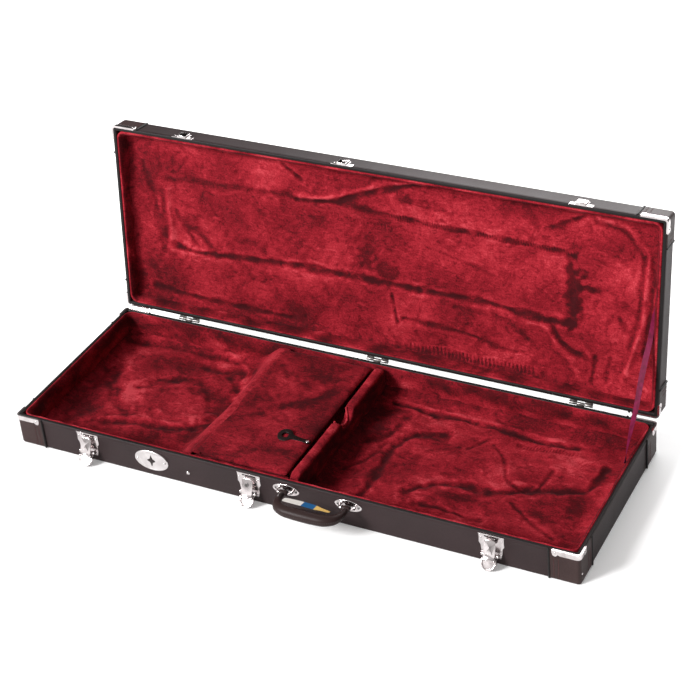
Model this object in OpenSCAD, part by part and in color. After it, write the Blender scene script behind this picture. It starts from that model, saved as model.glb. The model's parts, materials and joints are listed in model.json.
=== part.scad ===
// Hard case for an electric guitar: a shallow tray base and a shallower lid on three hinges,
// three draw latches, a swinging leather handle and a plush lining with an accessory box.
// The front is -Y, the hinge side is +Y and the headstock end is -X. The lid is stored open.

/* [Case] */
// Outside length of the case
case_l = 1040; // [1000:5:1080]
// Outside width of the case
case_w = 357; // [350:1:365]
// Height of the base
base_h = 59; // [58:0.5:60]
// Height of the lid
lid_h = 39; // [38:0.5:44]
// Thickness of the wooden boards
board_t = 6; // [5:0.5:6]
// Radius of the upright corners
corner_r = 5; // [3:0.5:8]
// Opening angle of the lid as stored
lid_open = 97; // [95:0.5:98]

/* [Lining] */
// Thickness of the padded plush on the base walls
lining_t = 8; // [6:0.5:8]
// Thickness of the padded plush on the lid walls
lid_lining_t = 9; // [8:0.5:9]
// Thickness of the padded plush on the floors
pad_t = 4; // [3:0.5:6]

/* [Accessory box] */
// Left face of the divider beside the guitar body
divider_x = 11; // [6:1:20]
// Thickness of the divider
divider_t = 19; // [14:1:22]
// Length of the accessory box lid along the case
box_lid_l = 179; // [160:1:185]
// Thickness of the accessory box lid
box_lid_t = 7; // [5:0.5:7]
// Width of the ramp that carries the headstock
ramp_w = 30; // [20:1:40]

/* [Latches] */
// Width of a latch plate
plate_w = 43; // [40:1:46]
// Length of a latch lever from its pivot to its tip
lever_l = 25; // [22:0.5:25]
// Length of a latch hook from its pivot to its lip
hook_l = 32; // [31.5:0.25:32.5]
// Throw of the hook pivot around the lever pivot
throw_r = 9; // [8.5:0.25:9]

/* [Handle] */
// Distance between the two handle brackets
bracket_gap = 114; // [108:1:120]
// Distance from the bracket bar to the middle of the grip
handle_reach = 40; // [38:0.5:42]
// Radius of the grip at its fattest
grip_r = 10.5; // [9.5:0.25:11]
// Angle of the handle from straight down as stored
handle_lean = 88; // [80:1:92]

/* [Hidden] */

$fn = 48;

// Outer faces
end_x = case_l / 2;
front_y = -case_w / 2;
back_y = case_w / 2;

// Gap between the two rims when the lid is shut, and the hinge axis in its middle
rim_gap = 0.8;
hinge_y = back_y + 5.2;
hinge_z = base_h + rim_gap / 2;
lid_z = base_h + rim_gap;
lid_top = lid_z + lid_h;

// Inside faces of the base and of the lid
in_x = end_x - board_t - lining_t;
in_y = back_y - board_t - lining_t;
lid_in_x = end_x - board_t - lid_lining_t;
lid_in_y = back_y - board_t - lid_lining_t;
lining_top = base_h - 1;
floor_z = board_t + pad_t;

// Accessory box
box_lid_x = divider_x - 6 - box_lid_l;
box_lid_top = base_h - 0.5;
box_lid_z = box_lid_top - box_lid_t;
ramp_x = box_lid_x - ramp_w - 12;
ramp_top = box_lid_z - 1;
divider_top = base_h + 4;
notch_r = 24;
notch_y = 16;
tab_y = -72;
tab_x = -44;
tab_l = 42;
ledge_w = 8;
ledge_h = 10;

// Latches: along the case, with the pivot at (latch_a, latch_z) out from the front face
latch_x = [-375, -57, 375];
latch_a = 8;
latch_z = 22;
lever_droop = 54.5;
throw_angle = 30;
hook_lean = 19.5;
pin_r = 1.5;
link_pin_r = 1.2;
running_fit = 0.05;

// Hinges
hinge_x = [-385, 4, 386];
hinge_w = 42;
knuckle_w = 14;
knuckle_r = 2.8;

// Handle
handle_x = 69;
bar_a = 9;
bar_z = 42.5;
bar_r = 2.2;
loop_r = 5;

// Fitted sheet metal
sheet_t = 1.2;
cap_t = 1.6;
cap_l = 46;
clip_l = 45;
clip_side_l = 24;
clip_h = 10;

// Front trim
badge_x = -248;
badge_z = 32;
nail_x = -177.5;
nail_z = 24;

// Stay ribbon, from the lid wall down to the base wall, as (y, z) points of its middle line
stay_x = in_x - 1.2;
stay_w = 11;
stay_t = 0.8;
stay_route = [
    [229, 278], [226, 250], [218, 216], [203, 188], [178, 160], [150, 124], [122, 92], [95, 67], [68, 50]
];

// ---------------------------------------------------------------- helpers

// Case outline seen from above
module outline() {
    square([case_l - 2 * corner_r, case_w], center = true);
    square([case_l, case_w - 2 * corner_r], center = true);
    for (sx = [-1, 1], sy = [-1, 1])
        translate([sx * (end_x - corner_r), sy * (back_y - corner_r)])
            circle(corner_r);
}

// A slice of the case outline between two x and two y values, raised from z0 to z1
module outline_slice(x0, x1, y0, y1, z0, z1) {
    translate([0, 0, z0])
        linear_extrude(z1 - z0)
            intersection() {
                outline();
                translate([x0, y0])
                    square([x1 - x0, y1 - y0]);
            }
}

// A block between two corners
module block(p, q) {
    translate(p)
        cube(q - p);
}

// Turns a lid drawn shut into its stored, open place
module opened() {
    translate([0, hinge_y, hinge_z])
        rotate([-lid_open, 0, 0])
            translate([0, -hinge_y, -hinge_z])
                children();
}

// A place on the front face, with the piece's own -Y pointing out
module on_front(x, z) {
    translate([x, front_y, z])
        children();
}

// A domed fastener head on a face whose outside is -Y
module dome(r, h) {
    rotate([90, 0, 0])
        intersection() {
            cylinder(r = r, h = h);
            translate([0, 0, h - dome_ball(r, h)])
                sphere(r = dome_ball(r, h));
        }
}

// Radius of the ball that a dome of radius r and height h is cut from
function dome_ball(r, h) = (r * r + h * h) / (2 * h);

// A round-ended bar outline along x
module stadium(l, w) {
    square([l - w, w], center = true);
    for (s = [-1, 1])
        translate([s * (l - w) / 2, 0])
            circle(w / 2);
}

// An ellipse outline
module oval(l, w) {
    polygon([for (a = [0:6:354]) [l / 2 * cos(a), w / 2 * sin(a)]]);
}

// A flat outline stood up against the front face, with the given thickness
module plate_on_front(t) {
    rotate([90, 0, 0])
        linear_extrude(t)
            children();
}

// ---------------------------------------------------------------- base boards

module base_bottom_panel() {
    color("#2b2526")
        outline_slice(-end_x, end_x, front_y, back_y, 0, board_t);
}

module base_front_board() {
    color("#332c2d")
        outline_slice(-end_x, end_x, front_y, front_y + board_t, board_t, base_h);
}

module base_back_board() {
    color("#332c2d")
        outline_slice(-end_x, end_x, back_y - board_t, back_y, board_t, base_h);
}

module base_end_board(side) {
    outline_slice(
        side < 0 ? -end_x : end_x - board_t,
        side < 0 ? -end_x + board_t : end_x,
        front_y + board_t, back_y - board_t, board_t, base_h
    );
}

module base_left_board() {
    color("#332c2d")
        base_end_board(-1);
}

module base_right_board() {
    color("#332c2d")
        base_end_board(1);
}

// ---------------------------------------------------------------- base lining

module base_front_lining() {
    color("#8f1524")
        block([board_t - end_x, front_y + board_t, board_t], [end_x - board_t, -in_y, lining_top]);
}

module base_back_lining() {
    color("#8f1524")
        block([board_t - end_x, in_y, board_t], [end_x - board_t, back_y - board_t, lining_top]);
}

module base_end_linings() {
    color("#8f1524")
        for (s = [-1, 1])
            translate([s * (in_x + lining_t / 2), 0, (board_t + lining_top) / 2])
                cube([lining_t, 2 * in_y, lining_top - board_t], center = true);
}

module body_floor_pad() {
    color("#9d1b2b")
        block([divider_x + divider_t, -in_y, board_t], [in_x, in_y, floor_z]);
}

module headstock_floor_pad() {
    color("#9d1b2b")
        block([-in_x, -in_y, board_t], [ramp_x, in_y, floor_z]);
}

module accessory_floor_pad() {
    color("#9d1b2b")
        block([box_lid_x, -in_y, board_t], [divider_x, in_y, floor_z]);
}

// Padded wall between the headstock bay and the accessory box, sloped on the headstock side
module headstock_ramp() {
    color("#8a1322")
        translate([0, in_y, 0])
            rotate([90, 0, 0])
                linear_extrude(2 * in_y)
                    polygon([
                        [ramp_x, board_t],
                        [box_lid_x - 1, board_t],
                        [box_lid_x - 1, ramp_top],
                        [box_lid_x - 11, ramp_top],
                        [ramp_x, floor_z]
                    ]);
}

// Padded wall beside the guitar body, with a finger notch in its top
module divider() {
    x1 = divider_x + divider_t;
    color("#8a1322")
        difference() {
            union() {
                block([divider_x, -in_y, board_t], [x1, in_y, base_h - 2]);
                block([divider_x, 4 - in_y, base_h - 3], [x1, in_y - 4, divider_top]);
            }
            translate([divider_x - 1, notch_y, divider_top + 3])
                rotate([0, 90, 0])
                    cylinder(r = notch_r, h = divider_t + 2);
        }
}

// ---------------------------------------------------------------- accessory box lid

module accessory_lid() {
    color("#a01c2c")
        difference() {
            block([box_lid_x, -in_y + 1.5, box_lid_z], [box_lid_x + box_lid_l, in_y - 1.5, box_lid_top]);
            translate([tab_x + tab_l, tab_y, box_lid_z - 1])
                cylinder(r = 1.6, h = box_lid_t + 2);
        }
}

// Strips on the front and back walls that the box lid rests on
module accessory_ledges() {
    color("#5c0f1b")
        for (s = [-1, 1])
            translate([box_lid_x + box_lid_l / 2, s * (in_y - ledge_w / 2), box_lid_z - 0.4 - ledge_h / 2])
                cube([box_lid_l, ledge_w, ledge_h], center = true);
}

module pull_tab() {
    color("#1d1716")
        translate([tab_x, tab_y, box_lid_top + 0.2])
            difference() {
                union() {
                    cylinder(r = 14, h = 2.5);
                    translate([0, -4.5, 0])
                        cube([tab_l, 9, 2.5]);
                    translate([tab_l, 0, 0])
                        cylinder(r = 4.5, h = 2.5);
                }
                translate([0, 0, -1])
                    cylinder(r = 6.5, h = 5);
                translate([tab_l, 0, -1])
                    cylinder(r = 1.6, h = 5);
            }
}

module pull_tab_rivet() {
    color("#d9d3d2")
        translate([tab_x + tab_l, tab_y, 0]) {
            translate([0, 0, box_lid_z])
                cylinder(r = 1.5, h = box_lid_t + 3);
            translate([0, 0, box_lid_top + 2.7])
                rotate([-90, 0, 0])
                    dome(3.6, 1.4);
        }
}

// ---------------------------------------------------------------- latches

// Shield outline of a latch plate, with its slot near the top
module shield() {
    w = plate_w / 2;
    difference() {
        polygon([
            [-w, 56.5], [w, 56.5], [w - 0.5, 46], [w, 38], [w - 3, 33], [w - 4, 22],
            [w - 6, 12.5], [6 - w, 12.5], [4 - w, 22], [3 - w, 33], [-w, 38], [0.5 - w, 46]
        ]);
        translate([0, 51.8])
            stadium(24, 2.6);
    }
}

// Ear of a latch plate, between x0 and x0 + 2, bored for the pivot pin
module plate_ear(x0) {
    difference() {
        union() {
            translate([x0, -latch_a, latch_z])
                rotate([0, 90, 0])
                    cylinder(r = 3.4, h = 2);
            block([x0, -latch_a, latch_z - 3.4], [x0 + 2, 0, latch_z + 3.4]);
        }
        translate([x0 - 1, -latch_a, latch_z])
            rotate([0, 90, 0])
                cylinder(r = pin_r + running_fit, h = 4);
    }
}

module latch_plate() {
    plate_on_front(sheet_t)
        shield();
    block([-plate_w / 2, -2.4, 55.3], [plate_w / 2, 0, 56.5]);
    for (x0 = [-14.5, 12.5])
        plate_ear(x0);
}

module latch_plates() {
    color("#d8d0d0")
        for (i = [0, 2])
            on_front(latch_x[i], 0)
                latch_plate();
}

module lock_plate() {
    color("#d8d0d0")
        on_front(latch_x[1], 0)
            latch_plate();
}

// Key barrel on the hook of the middle latch, with its keyhole
module lock_cylinder() {
    color("#b9b1b1")
        on_hook(1)
            translate([0, -0.6, 22])
                rotate([90, 0, 0])
                    difference() {
                        cylinder(r = 3.4, h = 1.4);
                        translate([0, 0.7, 0.5])
                            cylinder(r = 1.2, h = 2);
                        translate([-0.6, -2.4, 0.5])
                            cube([1.2, 3, 2]);
                    }
}

module latch_pivot_pins() {
    color("#c4bcbc")
        for (x = latch_x)
            on_front(x, 0)
                translate([-15.5, -latch_a, latch_z])
                    rotate([0, 90, 0])
                        cylinder(r = pin_r, h = 31);
}

module latch_rivets() {
    color("#cbc4c4")
        for (x = latch_x, s = [-1, 1], z = [16.5, 47.5])
            on_front(x + s * (z > 30 ? 18 : 14.8), z)
                translate([0, -sheet_t, 0])
                    dome(1.7, 1);
}

// Lever with its tail pointing out along -Y and the hook pin above it, pivot at the origin
module lever_body() {
    pin_y = -throw_r * cos(throw_angle);
    pin_z = throw_r * sin(throw_angle);
    bowl_r = 13;
    difference() {
        union() {
            translate([-12, 0, 0])
                rotate([0, 90, 0])
                    cylinder(r = 3, h = 24);
            translate([0, bowl_r - lever_l, -1.6])
                cylinder(r = bowl_r, h = 3.2);
            block([-10.5, bowl_r - lever_l, -1.6], [10.5, 0, 1.6]);
        }
        translate([-13, 0, 0])
            rotate([0, 90, 0])
                cylinder(r = pin_r + running_fit, h = 26);
        translate([0, bowl_r - lever_l - 0.5, -0.4])
            cylinder(r = bowl_r - 2.2, h = 4);
        block([-9.4, -lever_l / 2, -0.4], [9.4, -4.2, 4]);
    }
    for (x0 = [-10.9, 9.5])
        difference() {
            union() {
                translate([x0, pin_y, pin_z])
                    rotate([0, 90, 0])
                        cylinder(r = 2.4, h = 1.4);
                translate([x0, 0, 0])
                    rotate([-throw_angle, 0, 0])
                        block([0, -throw_r, -2.4], [1.4, -2.2, 2.4]);
            }
            translate([x0 - 1, 0, 0])
                rotate([0, 90, 0])
                    cylinder(r = pin_r + running_fit, h = 4);
        }
    translate([-10.9, pin_y, pin_z])
        rotate([0, 90, 0])
            cylinder(r = link_pin_r, h = 21.8);
}

module latch_lever(i) {
    color("#d5cdcd")
        on_front(latch_x[i], 0)
            translate([0, -latch_a, latch_z])
                rotate([lever_droop, 0, 0])
                    lever_body();
}

// Hook with its pivot at the origin, standing up along Z with its lip towards +Y
module hook_body(boss) {
    difference() {
        union() {
            translate([-9, 0, 0])
                rotate([0, 90, 0])
                    cylinder(r = 2.2, h = 18);
            translate([0, 0.6, 0])
                plate_on_front(1.2)
                    polygon([
                        [-9, 0], [9, 0], [9, 5.5], [10, 7], [10, hook_l - 2], [8, hook_l + 0.6],
                        [-8, hook_l + 0.6], [-10, hook_l - 2], [-10, 7], [-9, 5.5]
                    ]);
            block([-6, -0.6, hook_l - 0.6], [6, 3.5, hook_l + 0.6]);
            if (boss)
                translate([0, -0.6, 0])
                    plate_on_front(0.8)
                        polygon([[-6, 10], [6, 10], [0, 20]]);
        }
        translate([-10, 0, 0])
            rotate([0, 90, 0])
                cylinder(r = link_pin_r + running_fit, h = 20);
    }
}

// Puts a piece drawn in the hook's own frame onto latch i
module on_hook(i) {
    down = lever_droop - throw_angle;
    on_front(latch_x[i], 0)
        translate([0, -latch_a - throw_r * cos(down), latch_z - throw_r * sin(down)])
            rotate([-hook_lean, 0, 0])
                children();
}

module latch_hook(i) {
    color("#ddd6d6")
        on_hook(i)
            hook_body(i != 1);
}

module latch_lever_1() { latch_lever(0); }
module latch_lever_2() { latch_lever(1); }
module latch_lever_3() { latch_lever(2); }
module latch_hook_1() { latch_hook(0); }
module latch_hook_2() { latch_hook(1); }
module latch_hook_3() { latch_hook(2); }

// Strike on the lid: a plate with a hollow hump whose front window takes the hook's lip
module strike() {
    z0 = lid_z + 0.3;
    block([-20.5, -sheet_t, z0], [20.5, 0, z0 + 9]);
    block([-10, -sheet_t, z0], [10, 0, z0 + 19]);
    difference() {
        block([-9, -5, z0], [9, 0, z0 + 16]);
        block([-7, -6, z0 + 0.9], [7, -1.2, z0 + 4.6]);
    }
}

module latch_strikes() {
    color("#ddd6d6")
        opened()
            for (x = latch_x)
                on_front(x, 0)
                    strike();
}

module strike_rivets() {
    color("#cbc4c4")
        opened()
            for (x = latch_x, s = [-1, 1])
                on_front(x + s * 15.5, lid_z + 5)
                    translate([0, -sheet_t, 0])
                        dome(1.8, 1);
}

// ---------------------------------------------------------------- hinges

// Leaf on the back face; side is -1 for the leaf below the axis and 1 for the one above it
module hinge_leaf(side, knuckles) {
    z_in = 2.4;
    difference() {
        union() {
            block_sym(side, [-hinge_w / 2, back_y, z_in], [hinge_w / 2, back_y + sheet_t, 26]);
            for (k = knuckles) {
                translate([k - knuckle_w / 2 + 0.3, hinge_y, hinge_z])
                    rotate([0, 90, 0])
                        cylinder(r = knuckle_r, h = knuckle_w - 0.6);
                block_sym(side, [k - knuckle_w / 2 + 0.3, back_y, z_in - 1], [k + knuckle_w / 2 - 0.3,
                    hinge_y, z_in + 0.4]);
            }
        }
        translate([-hinge_w, hinge_y, hinge_z])
            rotate([0, 90, 0])
                cylinder(r = pin_r + running_fit, h = 2 * hinge_w);
    }
}

// A block measured from the hinge axis upwards (side 1) or downwards (side -1)
module block_sym(side, p, q) {
    z0 = side > 0 ? p[2] : -q[2];
    z1 = side > 0 ? q[2] : -p[2];
    block([p[0], p[1], hinge_z + z0], [q[0], q[1], hinge_z + z1]);
}

module hinge_base_leaves() {
    color("#8d8686")
        for (x = hinge_x)
            translate([x, 0, 0])
                hinge_leaf(-1, [0]);
}

module hinge_lid_leaves() {
    color("#8d8686")
        opened()
            for (x = hinge_x)
                translate([x, 0, 0])
                    hinge_leaf(1, [-knuckle_w, knuckle_w]);
}

module hinge_pins() {
    color("#a39c9c")
        for (x = hinge_x)
            translate([x - hinge_w / 2, hinge_y, hinge_z])
                rotate([0, 90, 0])
                    cylinder(r = pin_r, h = hinge_w);
}

module back_screw(x, z) {
    translate([x, back_y + sheet_t, z])
        rotate([0, 0, 180])
            dome(2.4, 1.1);
}

module lid_screws() {
    color("#a39c9c")
        opened()
            for (x = hinge_x, s = [-1, 1])
                back_screw(x + s * 12, hinge_z + 16);
}

// ---------------------------------------------------------------- handle

// Oval bracket with a bar that stands off it on two posts
module bracket() {
    plate_on_front(1.6)
        oval(49, 21);
    translate([-12, -bar_a, 0])
        rotate([0, 90, 0])
            cylinder(r = bar_r, h = 24);
    for (s = [-1, 1]) {
        translate([s * 12, 0, 0])
            rotate([90, 0, 0])
                cylinder(r = bar_r, h = bar_a);
        translate([s * 12, -bar_a, 0])
            sphere(r = bar_r);
    }
}

module handle_bracket_left() {
    color("#dcd5d4")
        on_front(handle_x - bracket_gap / 2, bar_z)
            bracket();
}

module handle_bracket_right() {
    color("#dcd5d4")
        on_front(handle_x + bracket_gap / 2, bar_z)
            bracket();
}

// Wood screws of the handle brackets and the base hinge leaves
module base_screws() {
    color("#c4bcbc") {
        for (s = [-1, 1], t = [-1, 1])
            on_front(handle_x + s * bracket_gap / 2 + t * 18.5, bar_z)
                translate([0, -1.6, 0])
                    dome(2.4, 1.1);
        for (x = hinge_x, s = [-1, 1])
            back_screw(x + s * 12, hinge_z - 16);
    }
}

// One half of the handle: a loop on the bar, a neck and a bend into the grip
module handle_half() {
    half = bracket_gap / 2;
    neck = [
        [half + 1, -11, 5.2],
        [half - 1, -22, 6.8],
        [half - 8, -33.5, 8.6],
        [half - 22, -handle_reach, grip_r - 1]
    ];
    difference() {
        union() {
            translate([half - 8, 0, 0])
                rotate([0, 90, 0])
                    cylinder(r = loop_r, h = 16);
            for (i = [0:2])
                hull()
                    for (p = [neck[i], neck[i + 1]])
                        translate([p[0], p[1], 0])
                            sphere(r = p[2], $fn = 24);
            translate([half + 0.5, -3, 0])
                rotate([90, 0, 0])
                    cylinder(r = 4.6, h = 8);
        }
        translate([half - 20, 0, 0])
            rotate([0, 90, 0])
                cylinder(r = bar_r + 0.4, h = 40);
    }
}

module handle_grip() {
    half = bracket_gap / 2;
    color("#2a201e")
        on_front(handle_x, 0)
            translate([0, -bar_a, bar_z])
                rotate([90 - handle_lean, 0, 0]) {
                    for (s = [0, 1])
                        mirror([s, 0, 0])
                            handle_half();
                    hull()
                        for (x = [22 - half, 0, half - 22])
                            translate([x, -handle_reach, 0])
                                sphere(r = x == 0 ? grip_r : grip_r - 1, $fn = 24);
                }
}

// ---------------------------------------------------------------- front trim

module badge_plate() {
    color("#cfc8c8")
        on_front(badge_x, badge_z) {
            plate_on_front(1.4)
                oval(66, 40);
            translate([0, -1.4, 0])
                plate_on_front(0.6)
                    difference() {
                        oval(66, 40);
                        oval(61, 35);
                    }
        }
}

module front_nails() {
    color("#d6cfcf") {
        for (s = [-1, 1])
            on_front(badge_x + s * 27, badge_z)
                translate([0, -1.4, 0])
                    dome(1.6, 1);
        on_front(nail_x, nail_z)
            dome(3.6, 2.2);
    }
}

// ---------------------------------------------------------------- corners

// An L-shaped wall, t thick, that wraps an upright corner whose face already stands out by off
module corner_wrap(sx, sy, off, t, long_l, short_l, z0, z1) {
    translate([sx * (end_x + off), sy * (back_y + off), z0])
        mirror([sx > 0 ? 1 : 0, 0, 0])
            mirror([0, sy > 0 ? 1 : 0, 0])
                linear_extrude(z1 - z0)
                    difference() {
                        translate([-t, -t])
                            intersection() {
                                corner_square(corner_r + off + t, long_l);
                                square([long_l, short_l]);
                            }
                        corner_square(corner_r + off, long_l + t);
                    }
}

// Square of side l with a rounded low corner
module corner_square(r, l) {
    translate([r, 0])
        square([l - r, l]);
    translate([0, r])
        square([l, l - r]);
    translate([r, r])
        circle(r);
}

// One leatherette cap, from z0 to z1
module corner_cap(sx, sy, z0, z1) {
    corner_wrap(sx, sy, 0, cap_t, cap_l, cap_l, z0, z1);
}

// Metal clip on a rim corner: a long leg along the front or back and a short leg on the end
module corner_clip(sx, sy, z0) {
    corner_wrap(sx, sy, cap_t, sheet_t, clip_l, clip_side_l, z0, z0 + clip_h);
}

// Rivets of one corner clip
module clip_rivets(sx, sy, z) {
    off = cap_t + sheet_t;
    translate([sx * (end_x - clip_l + 6), sy * (back_y + off), z])
        rotate([0, 0, sy > 0 ? 180 : 0])
            dome(1.8, 1);
    translate([sx * (end_x + off), sy * (back_y - clip_side_l + 7), z])
        rotate([0, 0, sx > 0 ? 90 : -90])
            dome(1.8, 1);
}

module base_corner_caps() {
    color("#3a2d2b")
        for (sx = [-1, 1], sy = [-1, 1])
            corner_cap(sx, sy, 0.5, base_h - 0.5);
}

module base_corner_clips() {
    color("#dad3d3")
        for (sx = [-1, 1], sy = [-1, 1])
            corner_clip(sx, sy, base_h - clip_h);
}

module base_clip_rivets() {
    color("#cbc4c4")
        for (sx = [-1, 1], sy = [-1, 1])
            clip_rivets(sx, sy, base_h - clip_h / 2);
}

module lid_corner_caps() {
    color("#3a2d2b")
        opened()
            for (sx = [-1, 1], sy = [-1, 1])
                corner_cap(sx, sy, lid_z + 0.5, lid_top - 0.5);
}

module lid_corner_clips() {
    color("#dad3d3")
        opened()
            for (sx = [-1, 1], sy = [-1, 1])
                corner_clip(sx, sy, lid_z);
}

module lid_clip_rivets() {
    color("#cbc4c4")
        opened()
            for (sx = [-1, 1], sy = [-1, 1])
                clip_rivets(sx, sy, lid_z + clip_h / 2);
}

// ---------------------------------------------------------------- lid

module lid_top_panel() {
    color("#2b2526")
        opened()
            outline_slice(-end_x, end_x, front_y, back_y, lid_top - board_t, lid_top);
}

module lid_front_board() {
    color("#332c2d")
        opened()
            outline_slice(-end_x, end_x, front_y, front_y + board_t, lid_z, lid_top - board_t);
}

module lid_back_board() {
    color("#332c2d")
        opened()
            outline_slice(-end_x, end_x, back_y - board_t, back_y, lid_z, lid_top - board_t);
}

module lid_end_board(side) {
    opened()
        outline_slice(
            side < 0 ? -end_x : end_x - board_t,
            side < 0 ? -end_x + board_t : end_x,
            front_y + board_t, back_y - board_t, lid_z, lid_top - board_t
        );
}

module lid_left_board() {
    color("#332c2d")
        lid_end_board(-1);
}

module lid_right_board() {
    color("#332c2d")
        lid_end_board(1);
}

module lid_top_pad() {
    color("#a01c2c")
        opened()
            block([-lid_in_x, -lid_in_y, lid_top - board_t - pad_t], [lid_in_x, lid_in_y, lid_top - board_t]);
}

module lid_front_lining() {
    color("#8f1524")
        opened()
            block([board_t - end_x, front_y + board_t, lid_z + 1], [end_x - board_t, -lid_in_y,
                lid_top - board_t]);
}

module lid_back_lining() {
    color("#8f1524")
        opened()
            block([board_t - end_x, lid_in_y, lid_z + 1], [end_x - board_t, back_y - board_t,
                lid_top - board_t]);
}

module lid_end_linings() {
    color("#8f1524")
        opened()
            for (s = [-1, 1])
                translate([s * (lid_in_x + lid_lining_t / 2), 0, (lid_z + 1 + lid_top - board_t) / 2])
                    cube([lid_lining_t, 2 * lid_in_y, lid_h - board_t - 1], center = true);
}

// ---------------------------------------------------------------- stay ribbon

// Ribbon standing on edge along its route, in a plane beside the end wall
module stay_ribbon() {
    n = len(stay_route) - 1;
    left = [for (i = [0:n]) stay_route[i] - stay_side(i)];
    right = [for (i = [n:-1:0]) stay_route[i] + stay_side(i)];
    color("#7a1240")
        translate([stay_x - stay_t, 0, 0])
            rotate([90, 0, 90])
                linear_extrude(stay_t)
                    polygon(concat(left, right));
}

// Half the ribbon's width, square to the route at point i
function stay_side(i) =
    let (n = len(stay_route) - 1)
    let (d = stay_route[min(i + 1, n)] - stay_route[max(i - 1, 0)])
    [-d[1], d[0]] / norm(d) * stay_w / 2;

// Small fixing stud through one end of the ribbon
module stay_stud(p) {
    color("#cbc4c4")
        translate([stay_x - stay_t, p[0], p[1]])
            rotate([0, 0, -90])
                dome(2.6, 1.4);
}

module stay_stud_base() {
    stay_stud(stay_route[len(stay_route) - 1] + [6, 4]);
}

module stay_stud_lid() {
    stay_stud(stay_route[0] + [-2, -7]);
}

// ---------------------------------------------------------------- output

base_bottom_panel();
base_front_board();
base_back_board();
base_left_board();
base_right_board();
base_front_lining();
base_back_lining();
base_end_linings();
body_floor_pad();
headstock_floor_pad();
accessory_floor_pad();
headstock_ramp();
divider();
latch_plates();
lock_plate();
lock_cylinder();
latch_pivot_pins();
latch_rivets();
hinge_base_leaves();
hinge_pins();
base_screws();
handle_bracket_left();
handle_bracket_right();
badge_plate();
front_nails();
base_corner_caps();
base_corner_clips();
base_clip_rivets();
accessory_ledges();
stay_ribbon();
stay_stud_base();
handle_grip();
lid_top_panel();
lid_front_board();
lid_back_board();
lid_left_board();
lid_right_board();
lid_top_pad();
lid_front_lining();
lid_back_lining();
lid_end_linings();
latch_strikes();
strike_rivets();
hinge_lid_leaves();
lid_screws();
lid_corner_caps();
lid_corner_clips();
lid_clip_rivets();
stay_stud_lid();
latch_lever_1();
latch_lever_2();
latch_lever_3();
latch_hook_1();
latch_hook_2();
latch_hook_3();
accessory_lid();
pull_tab();
pull_tab_rivet();
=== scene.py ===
import json
import math

import bmesh
import bpy
import numpy as np
from mathutils import Matrix, Vector


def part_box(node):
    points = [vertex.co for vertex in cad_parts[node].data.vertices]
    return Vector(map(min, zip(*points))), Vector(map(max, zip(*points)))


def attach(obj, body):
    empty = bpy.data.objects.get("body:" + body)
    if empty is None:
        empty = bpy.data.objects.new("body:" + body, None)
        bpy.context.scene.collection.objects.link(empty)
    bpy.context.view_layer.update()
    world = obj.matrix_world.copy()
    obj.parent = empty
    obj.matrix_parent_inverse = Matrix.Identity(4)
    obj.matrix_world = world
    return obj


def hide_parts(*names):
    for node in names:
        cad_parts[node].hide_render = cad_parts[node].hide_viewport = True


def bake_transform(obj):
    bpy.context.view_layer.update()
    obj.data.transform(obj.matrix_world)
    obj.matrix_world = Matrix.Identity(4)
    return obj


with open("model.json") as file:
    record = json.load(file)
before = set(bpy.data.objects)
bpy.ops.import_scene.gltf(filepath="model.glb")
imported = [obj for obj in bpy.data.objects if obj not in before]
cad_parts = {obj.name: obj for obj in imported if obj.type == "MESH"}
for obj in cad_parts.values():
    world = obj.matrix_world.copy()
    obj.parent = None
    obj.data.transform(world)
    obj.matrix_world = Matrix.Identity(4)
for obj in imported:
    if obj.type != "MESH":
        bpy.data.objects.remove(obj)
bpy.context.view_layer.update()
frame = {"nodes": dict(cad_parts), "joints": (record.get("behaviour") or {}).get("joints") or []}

scene = bpy.context.scene
MM = 0.001


# ---------------------------------------------------------------- places, from the frame

def corner(node, end):
    """Lowest (0) or highest (1) corner of a CAD node, in millimetres."""
    return np.array(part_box(node)[end]) / MM


JOINT = {j["name"]: j for j in frame["joints"]}
HALF_L, HALF_W, BOARD = corner("base_bottom_panel", 1)
BASE_H = corner("base_front_board", 1)[2]
IN_X, IN_Y, FLOOR = corner("body_floor_pad", 1)
LINING_TOP = corner("base_front_lining", 1)[2]
RAMP_X = corner("headstock_ramp", 0)[0]
RAMP_END, _, RAMP_TOP = corner("headstock_ramp", 1)
DIVIDER_LO, DIVIDER_HI = corner("divider", 0), corner("divider", 1)
BOX_LO, BOX_HI = corner("accessory_lid", 0), corner("accessory_lid", 1)
TAB_LO, TAB_HI = corner("pull_tab", 0), corner("pull_tab", 1)
HINGE = np.array(JOINT["lid_hinge"]["pos_m"]) / MM
OPEN_ANGLE = math.radians(JOINT["lid_hinge"]["range_deg"][1])
HANDLE_AXIS = np.array(JOINT["handle_swing"]["pos_m"]) / MM
LID_H = 39.0
LID_LINING = 9.0
CORNER_R = 5.0

# Takes a lid drawn lying as a tray (floor at z 0, rim up, hinge side towards -Y) to its open place
TO_HINGE = Matrix.Translation(Vector(HINGE))
SHUT_Z = 2 * HINGE[2] - BASE_H + LID_H
LID = (
    TO_HINGE
    @ Matrix.Rotation(-OPEN_ANGLE, 4, "X")
    @ TO_HINGE.inverted()
    @ Matrix.Translation((0, 0, SHUT_Z))
    @ Matrix.Rotation(math.pi, 4, "X")
)


# ---------------------------------------------------------------- camera, lights, floor

CAMERA_BACK = Vector((0.4187, -0.7406, 0.5255)).normalized()
CAMERA_ROLL = -5.56
CAMERA_PLACE = (1.3269, -2.2196, 1.9520)
CAMERA_LENS = 96.72
CAMERA_SHIFT = (-0.0011, -0.1186)


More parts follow.
